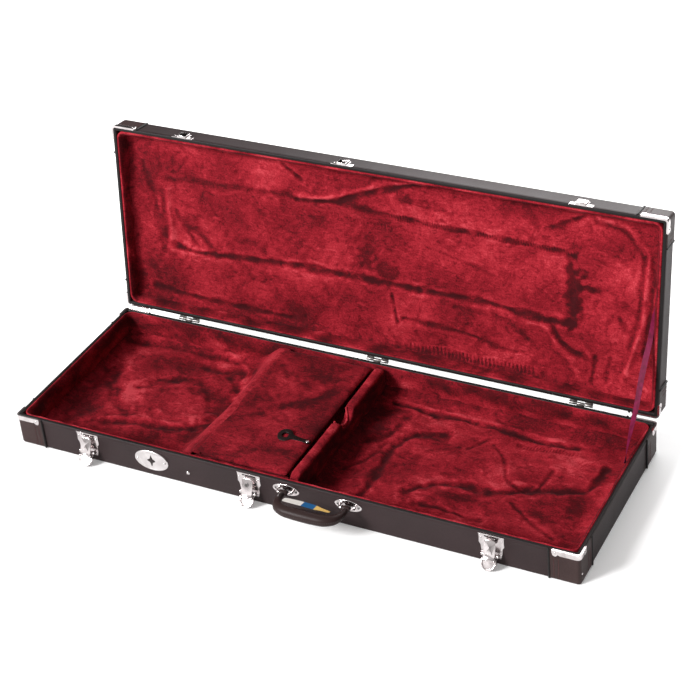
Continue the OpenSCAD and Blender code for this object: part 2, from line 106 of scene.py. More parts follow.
def make_camera():
    data = bpy.data.cameras.new("camera")
    data.lens, data.sensor_width = CAMERA_LENS, 36
    data.shift_x, data.shift_y = CAMERA_SHIFT
    camera = bpy.data.objects.new("camera", data)
    camera.location = CAMERA_PLACE
    level = (-CAMERA_BACK).to_track_quat("-Z", "Y").to_matrix().to_4x4()
    roll = Matrix.Rotation(math.radians(CAMERA_ROLL), 4, "Z")
    camera.matrix_world = Matrix.Translation(CAMERA_PLACE) @ level @ roll
    scene.collection.objects.link(camera)
    scene.camera = camera


def area_light(name, place, target, size, power, colour=(1, 1, 1)):
    data = bpy.data.lights.new(name, "AREA")
    data.shape, data.size = "SQUARE", size
    data.energy, data.color = power, colour
    light = bpy.data.objects.new(name, data)
    light.location = place
    light.rotation_euler = (Vector(target) - Vector(place)).to_track_quat("-Z", "Y").to_euler()
    scene.collection.objects.link(light)


def soft_sun(name, towards, strength, spread):
    """A distant soft light from the direction towards; spread is its angle in degrees."""
    data = bpy.data.lights.new(name, "SUN")
    data.energy, data.angle = strength, math.radians(spread)
    light = bpy.data.objects.new(name, data)
    light.rotation_euler = (-Vector(towards)).to_track_quat("-Z", "Y").to_euler()
    scene.collection.objects.link(light)


def make_studio():
    soft_sun("key", (-0.54, -0.65, 0.54), 3.8, 18)
    area_light("left_softbox", (-1.6, -1.9, 1.5), (0, 0, 0.1), 1.2, 10)
    area_light("background_light", (0.1, 2.3, 1.3), (0.1, 0.5, 0), 2.2, 95)
    scene.view_settings.view_transform = "Standard"
    scene.view_settings.look = "None"

    material = bpy.data.materials.new("floor_paint")
    material.use_nodes = True
    shader = material.node_tree.nodes["Principled BSDF"]
    shader.inputs["Base Color"].default_value = (0.93, 0.93, 0.93, 1)
    shader.inputs["Emission Color"].default_value = (1, 1, 1, 1)
    shader.inputs["Emission Strength"].default_value = 0.16
    shader.inputs["Roughness"].default_value = 0.9
    mesh = bpy.data.meshes.new("floor")
    side, low = 12.0, -0.0006
    mesh.from_pydata(
        [(-side, -side, low), (side, -side, low), (side, side, low), (-side, side, low)], [], [(0, 1, 2, 3)]
    )
    mesh.materials.append(material)
    floor = bpy.data.objects.new("floor", mesh)
    scene.collection.objects.link(floor)


make_camera()
make_studio()


# ---------------------------------------------------------------- materials

def make_world():
    """Studio walls: bright up and to the left, dim to the right and behind."""
    world = bpy.data.worlds.new("studio")
    scene.world = world
    world.use_nodes = True
    tree = world.node_tree
    where = add(tree, "TexCoord").outputs["Generated"]
    bright_side = (-0.52, -0.70, 0.48)
    side = add(tree, "VectorMath", {0: where, 1: bright_side}, operation="DOT_PRODUCT").outputs["Value"]
    dim, bright = (0.045, 0.04, 0.04), (1.0, 0.98, 0.97)
    colour = ramp(tree, steps_of(tree, side, -0.25, 0.85), [(0.0, dim), (1.0, bright)])
    tree.links.new(colour, tree.nodes["Background"].inputs["Color"])
    tree.nodes["Background"].inputs["Strength"].default_value = 0.62


def new_material(name):
    material = bpy.data.materials.new(name)
    material.use_nodes = True
    tree = material.node_tree
    return material, tree, tree.nodes["Principled BSDF"]


def add(tree, kind, inputs=None, **settings):
    """A shader node with its settings, and its inputs by name as values or sockets."""
    node = tree.nodes.new("ShaderNode" + kind)
    for key, value in settings.items():
        setattr(node, key, value)
    for key, value in (inputs or {}).items():
        if isinstance(value, bpy.types.NodeSocket):
            tree.links.new(value, node.inputs[key])
        else:
            node.inputs[key].default_value = value
    return node


def noise(tree, scale, detail=3.0, distortion=0.0, stretch=(1, 1, 1)):
    """Noise in the object's own coordinates; scale is in cells to the metre."""
    where = add(tree, "TexCoord").outputs["Object"]
    where = add(tree, "Mapping", {"Vector": where, "Scale": stretch}).outputs[0]
    return add(
        tree, "TexNoise", {"Vector": where, "Scale": scale, "Detail": detail, "Distortion": distortion}
    ).outputs[0]


def maths(tree, operation, a, b, c=0.0):
    return add(tree, "Math", {0: a, 1: b, 2: c}, operation=operation).outputs[0]


def ramp(tree, factor, stops):
    node = add(tree, "ValToRGB", {"Fac": factor})
    elements = node.color_ramp.elements
    while len(elements) < len(stops):
        elements.new(0.5)
    for element, (place, colour) in zip(elements, stops):
        element.position = place
        element.color = (*colour, 1)
    return node.outputs[0]


def bump(tree, height, strength, distance_mm, before=None):
    inputs = {"Height": height, "Strength": strength, "Distance": distance_mm * MM}
    if before is not None:
        inputs["Normal"] = before
    return add(tree, "Bump", inputs).outputs[0]


def set_shader(tree, shader, **inputs):
    for key, value in inputs.items():
        socket = shader.inputs[key.replace("_", " ")]
        if isinstance(value, bpy.types.NodeSocket):
            tree.links.new(value, socket)
        else:
            socket.default_value = value


def steps_of(tree, value, low, high):
    """A smooth step from 0 at low to 1 at high."""
    return add(tree, "MapRange", {"Value": value, "From Min": low, "From Max": high},
               interpolation_type="SMOOTHSTEP").outputs[0]


def plush_material():
    """Crushed plush: patches of turned nap, brush strokes and fine pile over the nap attribute, which also
    holds painted shade and painted highlights.
    """
    material, tree, shader = new_material("crimson_plush")
    nap_and_shading = add(tree, "Attribute", attribute_name="nap_and_shading").outputs["Fac"]
    patches = steps_of(tree, noise(tree, 17, 3.0, 1.8), 0.53, 0.61)
    flecks = steps_of(tree, noise(tree, 64, 2.0, 2.6, (0.5, 1, 1)), 0.58, 0.66)
    lights = steps_of(tree, noise(tree, 48, 2.0, 2.2, (0.45, 1, 1)), 0.56, 0.70)
    strokes = noise(tree, 120, 3.0, 2.4, (0.35, 1, 1))
    pile = noise(tree, 430, 3.0, 0.6)
    tone = maths(tree, "MULTIPLY_ADD", patches, -0.11, 0.62)
    tone = maths(tree, "MULTIPLY_ADD", flecks, -0.15, tone)
    tone = maths(tree, "MULTIPLY_ADD", lights, 0.12, tone)
    tone = maths(tree, "MULTIPLY_ADD", strokes, 0.42, maths(tree, "SUBTRACT", tone, 0.21))
    tone = maths(tree, "MULTIPLY_ADD", pile, 0.75, maths(tree, "SUBTRACT", tone, 0.375))
    tone = maths(tree, "ADD", tone, nap_and_shading)
    colour = ramp(tree, tone, [
        (0.0, (0.036, 0.0020, 0.0036)),
        (0.3, (0.085, 0.0026, 0.0056)),
        (0.55, (0.190, 0.0055, 0.0120)),
        (0.8, (0.315, 0.0150, 0.0250)),
        (1.0, (0.460, 0.0420, 0.0560)),
    ])
    normal = bump(tree, strokes, 0.3, 1.2)
    normal = bump(tree, pile, 0.5, 0.9, normal)
    set_shader(tree, shader, Base_Color=colour, Roughness=0.92, Normal=normal,
               Sheen_Weight=0.07, Sheen_Roughness=0.4, Sheen_Tint=(1.0, 0.30, 0.36, 1),
               Specular_IOR_Level=0.12)
    return material


def vinyl_material(name, low, high, roughness, grain_mm):
    """Grained vinyl or leatherette: pebbled cells, soft creases and a rubbed, uneven gloss."""
    material, tree, shader = new_material(name)
    where = add(tree, "TexCoord").outputs["Object"]
    cells = add(tree, "TexVoronoi", {"Vector": where, "Scale": 1 / (grain_mm * MM)}).outputs["Distance"]
    cloud = noise(tree, 9, 4.0, 0.6)
    speck = noise(tree, 480, 3.0)
    tone = maths(tree, "MULTIPLY_ADD", speck, 0.35, maths(tree, "MULTIPLY", cloud, 0.65))
    colour = ramp(tree, tone, [(0.3, low), (0.7, high)])
    gloss = maths(tree, "MULTIPLY_ADD", cloud, 0.2, roughness - 0.1)
    normal = bump(tree, cells, 0.45, 0.22)
    normal = bump(tree, speck, 0.2, 0.1, normal)
    set_shader(tree, shader, Base_Color=colour, Roughness=gloss, Normal=normal, Specular_IOR_Level=0.14)
    return material


def metal_material(name, dark, light, roughness, brush=(1, 1, 1)):
    """Plated or bare metal with fine scratches, faint cloudiness and uneven polish."""
    material, tree, shader = new_material(name)
    cloud = noise(tree, 55, 3.0, 0.5)
    scratches = noise(tree, 700, 2.0, 0.0, brush)
    colour = ramp(tree, cloud, [(0.3, dark), (0.65, light)])
    gloss = maths(tree, "MULTIPLY_ADD", cloud, 0.1, roughness - 0.09)
    gloss = maths(tree, "MULTIPLY_ADD", scratches, 0.08, gloss)
    normal = bump(tree, scratches, 0.08, 0.03)
    set_shader(tree, shader, Base_Color=colour, Metallic=1.0, Roughness=gloss, Normal=normal)
    return material


def ribbon_material():
    material, tree, shader = new_material("satin_ribbon")
    ribs = add(tree, "TexWave", {
        "Vector": add(tree, "TexCoord").outputs["Object"], "Scale": 420.0, "Distortion": 0.4,
    }, bands_direction="Z").outputs["Fac"]
    cloud = noise(tree, 120, 3.0)
    colour = ramp(tree, cloud, [(0.3, (0.085, 0.0022, 0.018)), (0.7, (0.165, 0.0050, 0.042))])
    set_shader(tree, shader, Base_Color=colour, Roughness=0.6, Normal=bump(tree, ribs, 0.3, 0.12),
               Specular_IOR_Level=0.15, Sheen_Weight=0.04, Sheen_Roughness=0.3, Sheen_Tint=(1, 0.5, 0.7, 1))
    return material


def thread_material(name, colour):
    material, tree, shader = new_material(name)
    twist = noise(tree, 2400, 2.0)
    shade = ramp(tree, twist, [(0.3, tuple(c * 0.6 for c in colour)), (0.7, colour)])
    set_shader(tree, shader, Base_Color=shade, Roughness=0.7, Normal=bump(tree, twist, 0.5, 0.1))
    return material


make_world()
PLUSH = plush_material()
VINYL = vinyl_material("black_vinyl", (0.0195, 0.0115, 0.0120), (0.0365, 0.0228, 0.0238), 0.54, 1.1)
CAP = vinyl_material("corner_leatherette", (0.026, 0.0140, 0.0135), (0.050, 0.0300, 0.0290), 0.46, 0.9)
LEATHER = vinyl_material("handle_leather", (0.018, 0.0095, 0.0090), (0.034, 0.0200, 0.0190), 0.36, 0.7)
TAB_LEATHER = vinyl_material("tab_leather", (0.0070, 0.0045, 0.0040), (0.0150, 0.0095, 0.0085), 0.42, 0.7)
EDGE = vinyl_material("rolled_edge", (0.0100, 0.0080, 0.0080), (0.018, 0.0150, 0.0150), 0.42, 0.8)
NICKEL = metal_material("nickel_plate", (0.50, 0.455, 0.455), (0.72, 0.67, 0.67), 0.17)
STEEL = metal_material("hinge_steel", (0.08, 0.074, 0.072), (0.22, 0.208, 0.204), 0.34, (1, 6, 1))
BADGE = metal_material("badge_metal", (0.58, 0.54, 0.54), (0.76, 0.72, 0.72), 0.32, (0.2, 4, 4))
RIBBON = ribbon_material()
CAP_THREAD = thread_material("cap_thread", (0.12, 0.028, 0.030))
BLACK_THREAD = thread_material("black_thread", (0.045, 0.034, 0.033))


# ---------------------------------------------------------------- mesh tools

def placed(points, matrix):
    m = np.array(matrix)
    return np.asarray(points, float) @ m[:3, :3].T + m[:3, 3]


def build(name, points, faces, material, body, slot=None, place=None, sharp=40):
    """A mesh piece from points in millimetres, riding on a body unless it is None."""
    if place is not None:
        points = placed(points, place)
    mesh = bpy.data.meshes.new(name)
    mesh.from_pydata((np.asarray(points, float) * MM).tolist(), [], faces)
    tidy_mesh(mesh, sharp)
    piece = bpy.data.objects.new(name, mesh)
    scene.collection.objects.link(piece)
    mesh.materials.append(material)
    if body:
        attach(piece, body)
    return piece


def tidy_mesh(mesh, sharp):
    work = bmesh.new()
    work.from_mesh(mesh)
    bmesh.ops.recalc_face_normals(work, faces=work.faces)
    work.to_mesh(mesh)
    work.free()
    mesh.polygons.foreach_set("use_smooth", [True] * len(mesh.polygons))
    mesh.set_sharp_from_angle(angle=math.radians(sharp))


def turns(count):
    """Angles evenly round a full turn."""
    return np.linspace(0, 2 * np.pi, count, endpoint=False)


def unit(vectors):
    return vectors / np.linalg.norm(vectors, axis=-1, keepdims=True)


def way_along(points):
    """Distance of each point from the first, along the line of points."""
    return np.concatenate([[0], np.cumsum(np.linalg.norm(np.diff(points, axis=0), axis=1))])


def grid_faces(rows, columns, first=0):
    """Quads of a grid whose points run row by row from the index first."""
    faces = []
    for i in range(rows - 1):
        a = first + i * columns
        b = a + columns
        faces += [(a + j, b + j, b + j + 1, a + j + 1) for j in range(columns - 1)]
    return faces


def rim_of(rows, columns):
    """Indices of the points round the edge of a grid, in order."""
    rim = [i * columns for i in range(rows)]
    rim += [(rows - 1) * columns + j for j in range(1, columns)]
    rim += [i * columns + columns - 1 for i in range(rows - 2, -1, -1)]
    return rim + list(range(columns - 2, 0, -1))


def closed_patch(outer, inner):
    """Points and faces of a solid between two grids of the same size."""
    rows, columns = outer.shape[:2]
    n = rows * columns
    faces = grid_faces(rows, columns) + grid_faces(rows, columns, first=n)
    rim = rim_of(rows, columns)
    for a, b in zip(rim, rim[1:] + rim[:1]):
        faces.append((a, b, b + n, a + n))
    return np.concatenate([outer.reshape(-1, 3), inner.reshape(-1, 3)]), faces


def swept(rings, closed=False):
    """Points and faces of a tube through rings of points, with its ends capped unless it is closed."""
    rings = np.asarray(rings, float)
    count, around = rings.shape[:2]
    faces = []
    for i in range(count if closed else count - 1):
        a, b = i * around, (i + 1) % count * around
        faces += [(a + j, a + (j + 1) % around, b + (j + 1) % around, b + j) for j in range(around)]
    if not closed:
        faces += [tuple(range(around))[::-1], tuple(range((count - 1) * around, count * around))]
    return rings.reshape(-1, 3), faces


def tube(path, radius, around=14, up=(0, 0, 1)):
    """A round tube along a path; radius is one number or one for each point."""
    path = np.asarray(path, float)
    radius = np.broadcast_to(radius, len(path))
    ahead = np.roll(path, -1, 0) - np.roll(path, 1, 0)
    ahead[0], ahead[-1] = path[1] - path[0], path[-1] - path[-2]
    ahead = unit(ahead)
    side = unit(np.cross(ahead, np.array(up, float)))
    top = np.cross(side, ahead)
    turn = turns(around)
    rings = [
        p + r * (np.outer(np.cos(turn), s) + np.outer(np.sin(turn), t))
        for p, r, s, t in zip(path, radius, side, top)
    ]
    return swept(rings)


def merged(parts):
    """One set of points and faces from several."""
    points, faces, start = [], [], 0
    for some, their_faces in parts:
        points.append(np.asarray(some, float))
        faces += [tuple(start + i for i in f) for f in their_faces]
        start += len(some)
    return np.concatenate(points), faces


def smooth_line(points, between=8):
    """A Catmull-Rom line through points."""
    p = np.asarray(points, float)
    if len(p) < 3:
        return p
    p = np.vstack([2 * p[0] - p[1], p, 2 * p[-1] - p[-2]])
    out = []
    for a, b, c, d in zip(p[:-3], p[1:-2], p[2:-1], p[3:]):
        for t in np.linspace(0, 1, between, endpoint=False):
            out.append(0.5 * (2 * b + (c - a) * t + (2 * a - 5 * b + 4 * c - d) * t**2
                              + (3 * b - a - 3 * c + d) * t**3))
    return np.array(out + [p[-2]])


def rounded_rectangle(half_x, half_y, radius, arc_steps=6, spacing=None):
    """Points anticlockwise round a rounded rectangle, about spacing apart on its sides."""
    points = []
    for sx, sy, start in ((1, 1, 0), (-1, 1, 90), (-1, -1, 180), (1, -1, 270)):
        for i in range(arc_steps + 1):
            turn = math.radians(start + 90 * i / arc_steps)
            points.append((sx * (half_x - radius) + radius * math.cos(turn),
                           sy * (half_y - radius) + radius * math.sin(turn)))
    if spacing:
        dense = []
        for a, b in zip(points, points[1:] + points[:1]):
            steps = max(1, round(math.dist(a, b) / spacing))
            for k in range(steps):
                dense.append((a[0] + (b[0] - a[0]) * k / steps, a[1] + (b[1] - a[1]) * k / steps))
        points = dense
    return np.array(points)


def from_node(node, material, body, width):
    """A CAD node's own shape as a new piece, with its sharp outer edges rounded off by width."""
    mesh = frame["nodes"][node].data.copy()
    work = bmesh.new()
    work.from_mesh(mesh)
    bmesh.ops.remove_doubles(work, verts=work.verts, dist=0.00002)
    bmesh.ops.dissolve_limit(work, angle_limit=math.radians(1), verts=work.verts, edges=work.edges)
    sharp = math.radians(32)
    edges = [e for e in work.edges if len(e.link_faces) == 2 and e.calc_face_angle_signed(0) > sharp]
    bmesh.ops.bevel(work, geom=edges, offset=width * MM, segments=2, profile=0.6, affect="EDGES",
                    clamp_overlap=True)
    fresh = bpy.data.meshes.new(node + "_finish")
    work.to_mesh(fresh)
    work.free()
    fresh.polygons.foreach_set("use_smooth", [True] * len(fresh.polygons))
    fresh.set_sharp_from_angle(angle=math.radians(38))
    piece = bpy.data.objects.new(node + "_finish", fresh)
    scene.collection.objects.link(piece)
    fresh.materials.append(material)
    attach(piece, body)
    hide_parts(node)


# ---------------------------------------------------------------- plush relief

def crumple(x, y, seed, low, high, count=18):
    """Smooth, seeded relief between about -1 and 1, with waves from low to high millimetres long."""
    draw = np.random.RandomState(seed)
    angle = draw.uniform(0, 2 * np.pi, count)
    number = 2 * np.pi / np.exp(draw.uniform(math.log(low), math.log(high), count))
    phase = draw.uniform(0, 2 * np.pi, count)
    total = np.zeros(np.broadcast(x, y).shape)
    for a, k, p in zip(angle, number, phase):
        total = total + np.sin(k * (x * math.cos(a) + y * math.sin(a)) + p)
    return total / math.sqrt(count / 2)


def wrinkles(x, y, seed, size):
    """Sharp little folds, from 0 between them to 1 along them."""
    wx = x + 0.35 * size * crumple(x, y, seed + 1, size, 3 * size)
    wy = y + 0.35 * size * crumple(x, y, seed + 2, size, 3 * size)
    return np.clip(1 - np.abs(crumple(wx, wy, seed, size, 3 * size)), 0, 1) ** 5


def away_from(x, y, line):
    """Distance of each point from a line of points."""
    nearest = np.full(np.shape(x), 1e9)
    for a, b in zip(line[:-1], line[1:]):
        d = b - a
        t = np.clip(((x - a[0]) * d[0] + (y - a[1]) * d[1]) / max(d @ d, 1e-9), 0, 1)
        nearest = np.minimum(nearest, np.hypot(x - a[0] - t * d[0], y - a[1] - t * d[1]))
    return nearest


def relief(x, y, folds, blots, seed):
    """Height and nap of a plush sheet. The nap is lighter above 0 and darker below; it holds painted shade
    along wrinkles and creases and a painted highlight on the ridge beside each crease.

    A fold is (points, width, depth, shade), and a blot is (x, y, rx, ry, shade), a patch of turned nap; some
    blots are painted shadow.
    """
    height = 0.9 * crumple(x, y, seed, 60, 200) + 0.35 * crumple(x, y, seed + 5, 18, 50)
    fine = wrinkles(x, y, seed + 9, 46) * np.clip(0.5 + crumple(x, y, seed + 13, 90, 200), 0, 1)
    height = height - 0.9 * fine
    # Random tone of the nap, with painted shade along the fine wrinkles
    nap_and_shading = 0.09 * crumple(x, y, seed + 17, 80, 260) - 0.16 * fine
    for points, width, depth, shade in folds:
        line = smooth_line(points)
        reach = 4 * width
        lo, hi = line.min(0) - reach, line.max(0) + reach
        near = (x > lo[0]) & (x < hi[0]) & (y > lo[1]) & (y < hi[1])
        if not near.any():
            continue
        wave = 1 + 0.3 * crumple(x[near], y[near], seed + 21, 14, 50)
        d = away_from(x[near], y[near], line)
        d = d / np.clip(1 + 0.32 * crumple(x[near], y[near], seed + 29, 30, 110), 0.6, 1.6)
        height[near] -= depth * np.exp(-((d / width) ** 2))
        # Painted shade down the crease, and a painted highlight along the ridge beside it
        nap_and_shading[near] -= 1.3 * shade * wave * np.exp(-((d / (1.2 * width)) ** 2))
        nap_and_shading[near] += 0.34 * shade * wave * np.exp(-(((d - 2.3 * width) / width) ** 2))
    for cx, cy, rx, ry, shade in blots:
        d = np.hypot((x - cx) / rx, (y - cy) / ry) + 0.25 * crumple(x, y, seed + 25, 12, 60)
        nap_and_shading -= shade / (1 + np.exp(np.clip(6 * (d - 0.9), -30, 30)))
    return height, nap_and_shading


def comb(start, end, pitch, length, shade):
    """A row of short pleats across the line from start to end, as folds."""
    start, end = np.array(start, float), np.array(end, float)
    count = int(np.linalg.norm(end - start) / pitch)
    lean = np.array([0.25, -1.0]) * length
    rows = [start + (end - start) * i / count for i in range(count + 1)]
    return [([p - lean / 2, p + lean / 2], 1.5, 0.7, shade) for p in rows]


# The nap attribute holds the plush's turned nap together with painted shade and painted highlights.
def set_nap_and_shading(piece, nap_and_shading):
    attribute = piece.data.attributes.new("nap_and_shading", "FLOAT", "POINT")
    attribute.data.foreach_set("value", np.asarray(nap_and_shading, np.float32))


def vertices_mm(piece):
    return np.array([v.co for v in piece.data.vertices]) / MM


def upholster(piece, nap_and_shading, nodes):
    """Gives a finished plush piece its nap and painted shade, and hides the CAD nodes that it stands for."""
    set_nap_and_shading(piece, nap_and_shading)
    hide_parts(*nodes)


def plush_sheet(name, x_range, y_range, step, bottom, height_and_nap, body, nodes, place=None):
    """A closed plush pad: a shaped top over a flat bottom."""
    xs = np.linspace(*x_range, max(3, round((x_range[1] - x_range[0]) / step)))
    ys = np.linspace(*y_range, max(3, round((y_range[1] - y_range[0]) / step)))
    x, y = np.meshgrid(xs, ys, indexing="ij")
    z, nap_and_shading = height_and_nap(x, y)
    rows, columns = x.shape
    top = np.stack([x, y, z], -1).reshape(-1, 3)
    rim = rim_of(rows, columns)
    under = top[rim].copy()
    under[:, 2] = bottom
    n, m = len(top), len(rim)
    faces = grid_faces(rows, columns)
    faces += [(rim[k], rim[(k + 1) % m], n + (k + 1) % m, n + k) for k in range(m)]
    faces.append(tuple(n + k for k in range(m)))
    piece = build(name, np.concatenate([top, under]), faces, PLUSH, body, "plush", place, sharp=70)
    # Painted shade on the pad's sides and bottom
    upholster(piece, np.concatenate([nap_and_shading.ravel(), np.full(m, -0.3)]), nodes)


def wall_rise(x, y, x_low, x_high, half_y, size, width):
    """How much a floor pad rises as it meets the walls round it."""
    d = np.minimum(np.minimum(x - x_low, x_high - x), half_y - np.abs(y))
    return size * np.exp(-((np.maximum(d, 0) / width) ** 1.5))


def plush_walls(name, half_x, half_y, thick, low, high, body, nodes, seed, place=None):
    """The padded lining round the inside of a tray, with a rolled top edge."""
    outline = rounded_rectangle(half_x, half_y, 7, 5, 4.5)
    ahead = np.roll(outline, -1, 0) - np.roll(outline, 1, 0)
    out = unit(np.stack([ahead[:, 1], -ahead[:, 0]], -1))
    along = way_along(outline)
    face = np.linspace(low, high - 15, 8)
    profile = [(0.0, z) for z in face]
    profile += [(0.5, high - 10.5), (1.4, high - 6.5), (2.6, high - 3.4), (3.9, high - 1.3),
                (5.0, high - 0.2), (6.0, high), (thick - 1.0, high), (thick - 0.2, high - 1.0),
                (thick - 0.2, low)]
    offset = np.array([p[0] for p in profile])
    level = np.array([p[1] for p in profile])
    u, z = np.meshgrid(along, level, indexing="ij")
    share = np.clip((z - low) / (high - low), 0, 1)
    soft = np.sin(np.pi * share) * (offset < 3)
    dents = wrinkles(u, 2.2 * z, seed, 70)
    bulge = soft * (1.0 + 1.1 * crumple(u, 1.6 * z, seed + 3, 35, 140) - 1.4 * dents)
    lift = (offset > 2) * (offset < thick - 1) * 0.35 * crumple(u, 0 * z, seed + 6, 20, 90)
    inwards = offset[None, :] - np.clip(bulge, -0.6, 3.2)
    points = np.empty((*u.shape, 3))
    points[..., 0] = outline[:, 0, None] + out[:, 0, None] * inwards
    points[..., 1] = outline[:, 1, None] + out[:, 1, None] * inwards
    points[..., 2] = z + lift
    # Random tone of the nap, with painted shade in the dents of the lining's face
    nap_and_shading = 0.12 * crumple(u, 2 * z, seed + 4, 40, 160) - 0.22 * dents * soft
    # A painted highlight along the flat top and back, and painted shade on the face that deepens up towards
    # the rolled edge
    nap_and_shading = nap_and_shading + np.where(offset > 5.5, 0.10, -0.05 - 0.16 * np.clip(share - 0.4, 0, 0.4) / 0.4)
    # Painted shade at the foot of the walls, where they meet the floor
    nap_and_shading = nap_and_shading - 0.25 * np.exp(-share / 0.12)
    rings, faces = swept(points, closed=True)
    piece = build(name, rings, faces, PLUSH, body, "plush", place, sharp=70)
    upholster(piece, nap_and_shading.ravel(), nodes)


def puff(piece, voxel, pressure, cap):
    """Swells a closed pad by a short cloth simulation; no point ends more than cap from its start."""
    bpy.ops.object.select_all(action="DESELECT")
    bpy.context.view_layer.objects.active = piece
    piece.select_set(True)
    remesh = piece.modifiers.new("remesh", "REMESH")
    remesh.mode, remesh.voxel_size = "VOXEL", voxel * MM
    bpy.ops.object.modifier_apply(modifier="remesh")
    start = np.array([v.co for v in piece.data.vertices])
    cloth = piece.modifiers.new("cloth", "CLOTH")
    cloth.settings.use_pressure = True
    cloth.settings.uniform_pressure_force = pressure
    cloth.settings.effector_weights.gravity = 0
    cloth.settings.quality = 4
    cloth.point_cache.frame_start, cloth.point_cache.frame_end = 1, 20
    for step in range(1, 21):
        scene.frame_set(step)
    shown = piece.evaluated_get(bpy.context.evaluated_depsgraph_get())
    moved = np.array([v.co for v in shown.data.vertices]) - start
    piece.modifiers.remove(cloth)
    scene.frame_set(1)
    length = np.maximum(np.linalg.norm(moved, axis=1)[:, None], 1e-9)
    limit = cap * MM
    ends = start + moved / length * limit * np.tanh(length / limit)
    piece.data.vertices.foreach_set("co", ends.ravel())
    divide = piece.modifiers.new("divide", "SUBSURF")
    divide.levels = divide.render_levels = 1
    bpy.ops.object.modifier_apply(modifier="divide")
    piece.data.polygons.foreach_set("use_smooth", [True] * len(piece.data.polygons))


# ---------------------------------------------------------------- vinyl-covered trays

def tray(name, height, body, nodes, place=None):
    """The vinyl-covered boards of the base or the lid as one tray with a rolled rim.

    The profile gives (inset, height) from the middle of the bottom round to the inside.
    """
    profile = [(9.0, 0), (2.2, 0), (1.0, 0.25), (0.3, 0.9), (0, 2.2), (0, height - 8.5),
               (-0.35, height - 7.6), (-0.6, height - 6), (-0.6, height - 2.2), (-0.25, height - 0.8),
               (0.8, height), (4.8, height), (5.6, height - 0.4), (BOARD, height - 1.4), (BOARD, BOARD)]
    rim_start, rim_end = 9, 13
    loops = []
    for inset, z in profile:
        radius = max(CORNER_R - inset, 0.4)
        loops.append([(x, y, z) for x, y in rounded_rectangle(HALF_L - inset, HALF_W - inset, radius)])
    points, faces = swept(loops)
    piece = build(name, points, faces, VINYL, body, "vinyl", place, sharp=50)
    piece.data.materials.append(EDGE)
    around = len(loops[0])
    for index in range(rim_start * around, rim_end * around):
        piece.data.polygons[index].material_index = 1
    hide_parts(*nodes)


SIDES = ("front_board", "back_board", "left_board", "right_board")
tray("base_vinyl_tray", BASE_H, "base", ["base_bottom_panel"] + ["base_" + s for s in SIDES])
tray("lid_vinyl_tray", LID_H, "lid", ["lid_top_panel"] + ["lid_" + s for s in SIDES], LID)


# ---------------------------------------------------------------- corner caps and clips

CAP_T, CAP_L = 1.6, 50.0
CLIP_T, CLIP_L, CLIP_SIDE, CLIP_H = 1.2, 45.0, 24.0, 10.0
CAP_SEAMS = (7.5, 15.5)


def corner_route(sx, sy, front_l, side_l, spacing=1.6):
    """Points, outward directions and distances along, from the long face round to the end face."""
    cx, cy = HALF_L - CORNER_R, HALF_W - CORNER_R
    route = [((HALF_L - d, HALF_W), (0, 1)) for d in np.arange(front_l, CORNER_R, -spacing)]
    for turn in np.linspace(90, 0, 9):
        c, s = math.cos(math.radians(turn)), math.sin(math.radians(turn))
        route.append(((cx + CORNER_R * c, cy + CORNER_R * s), (c, s)))
    on_end = np.append(np.arange(CORNER_R + spacing, side_l, spacing), side_l)
    route += [((HALF_L, HALF_W - d), (1, 0)) for d in on_end]
    flip = np.array([sx, sy], float)
    points = np.array([r[0] for r in route]) * flip
    out = np.array([r[1] for r in route]) * flip
    return points, out, way_along(points)


def wrap(sx, sy, front_l, side_l, low, high, rows, outer, inner):
    """A solid wrapped round a corner: low and high limit it, outer and inner give its offsets."""
    points, out, along = corner_route(sx, sy, front_l, side_l)
    u = np.broadcast_to(along[:, None], (len(along), rows))
    share = np.broadcast_to(np.linspace(0, 1, rows), u.shape)
    ends = np.minimum(u, along[-1] - u)
    z = low(u, ends) * (1 - share) + high * share

    def layer(offset):
        grid = np.empty((*u.shape, 3))
        grid[..., 0] = points[:, 0, None] + out[:, 0, None] * offset
        grid[..., 1] = points[:, 1, None] + out[:, 1, None] * offset
        grid[..., 2] = z
        return grid

    edge = np.minimum(z - z[:, :1], z[:, -1:] - z)
    return closed_patch(layer(outer(u, ends, edge)), layer(inner(u, ends, edge)))


def cap_outer(u, ends, edge):
    seams = sum(0.5 * np.exp(-(((ends - s) / 0.9) ** 2)) for s in CAP_SEAMS)
    rolled = 1 - np.exp(-np.maximum(np.minimum(edge, ends), 0) / 0.7)
    return 0.25 + (CAP_T - 0.25 - seams) * rolled


def clip_outer(u, ends, edge):
    rolled = 1 - np.exp(-np.maximum(np.minimum(edge, ends) + 0.05, 0) / 0.3)
    return CAP_T + 0.3 + (CLIP_T - 0.3) * rolled


def clip_low(height):
    def low(u, ends):
        lobe = 2.3 * np.sqrt(np.clip(1 - ((ends - 4.6) / 4.6) ** 2, 0, 1))
        notch = -1.1 * np.exp(-(((ends - 11.0) / 1.6) ** 2))
        rounding = 3.2 * np.exp(-ends / 0.9)
        return height - CLIP_H - lobe - notch + rounding
    return low


def stitches(line, out, length, radius, gap):
    """Small raised stitches along a line of points; out is one direction or one for each point."""
    line = np.asarray(line, float)
    along = way_along(line)
    parts = []
    for start in np.arange(0, along[-1] - length, length + gap):
        marks = start + length * np.linspace(0, 1, 5)
        path = np.stack([np.interp(marks, along, line[:, k]) for k in range(3)], -1)
        lift = radius * np.array([0.0, 0.75, 1.0, 0.75, 0.0])[:, None]
        thick = radius * np.array([0.45, 0.9, 1.0, 0.9, 0.45])
        up = np.array(out, float)
        if up.ndim == 2:
            up = np.array([np.interp(start, along, up[:, k]) for k in range(3)])
        parts.append(tube(path + up * lift, thick, 6, up=up))
    return parts


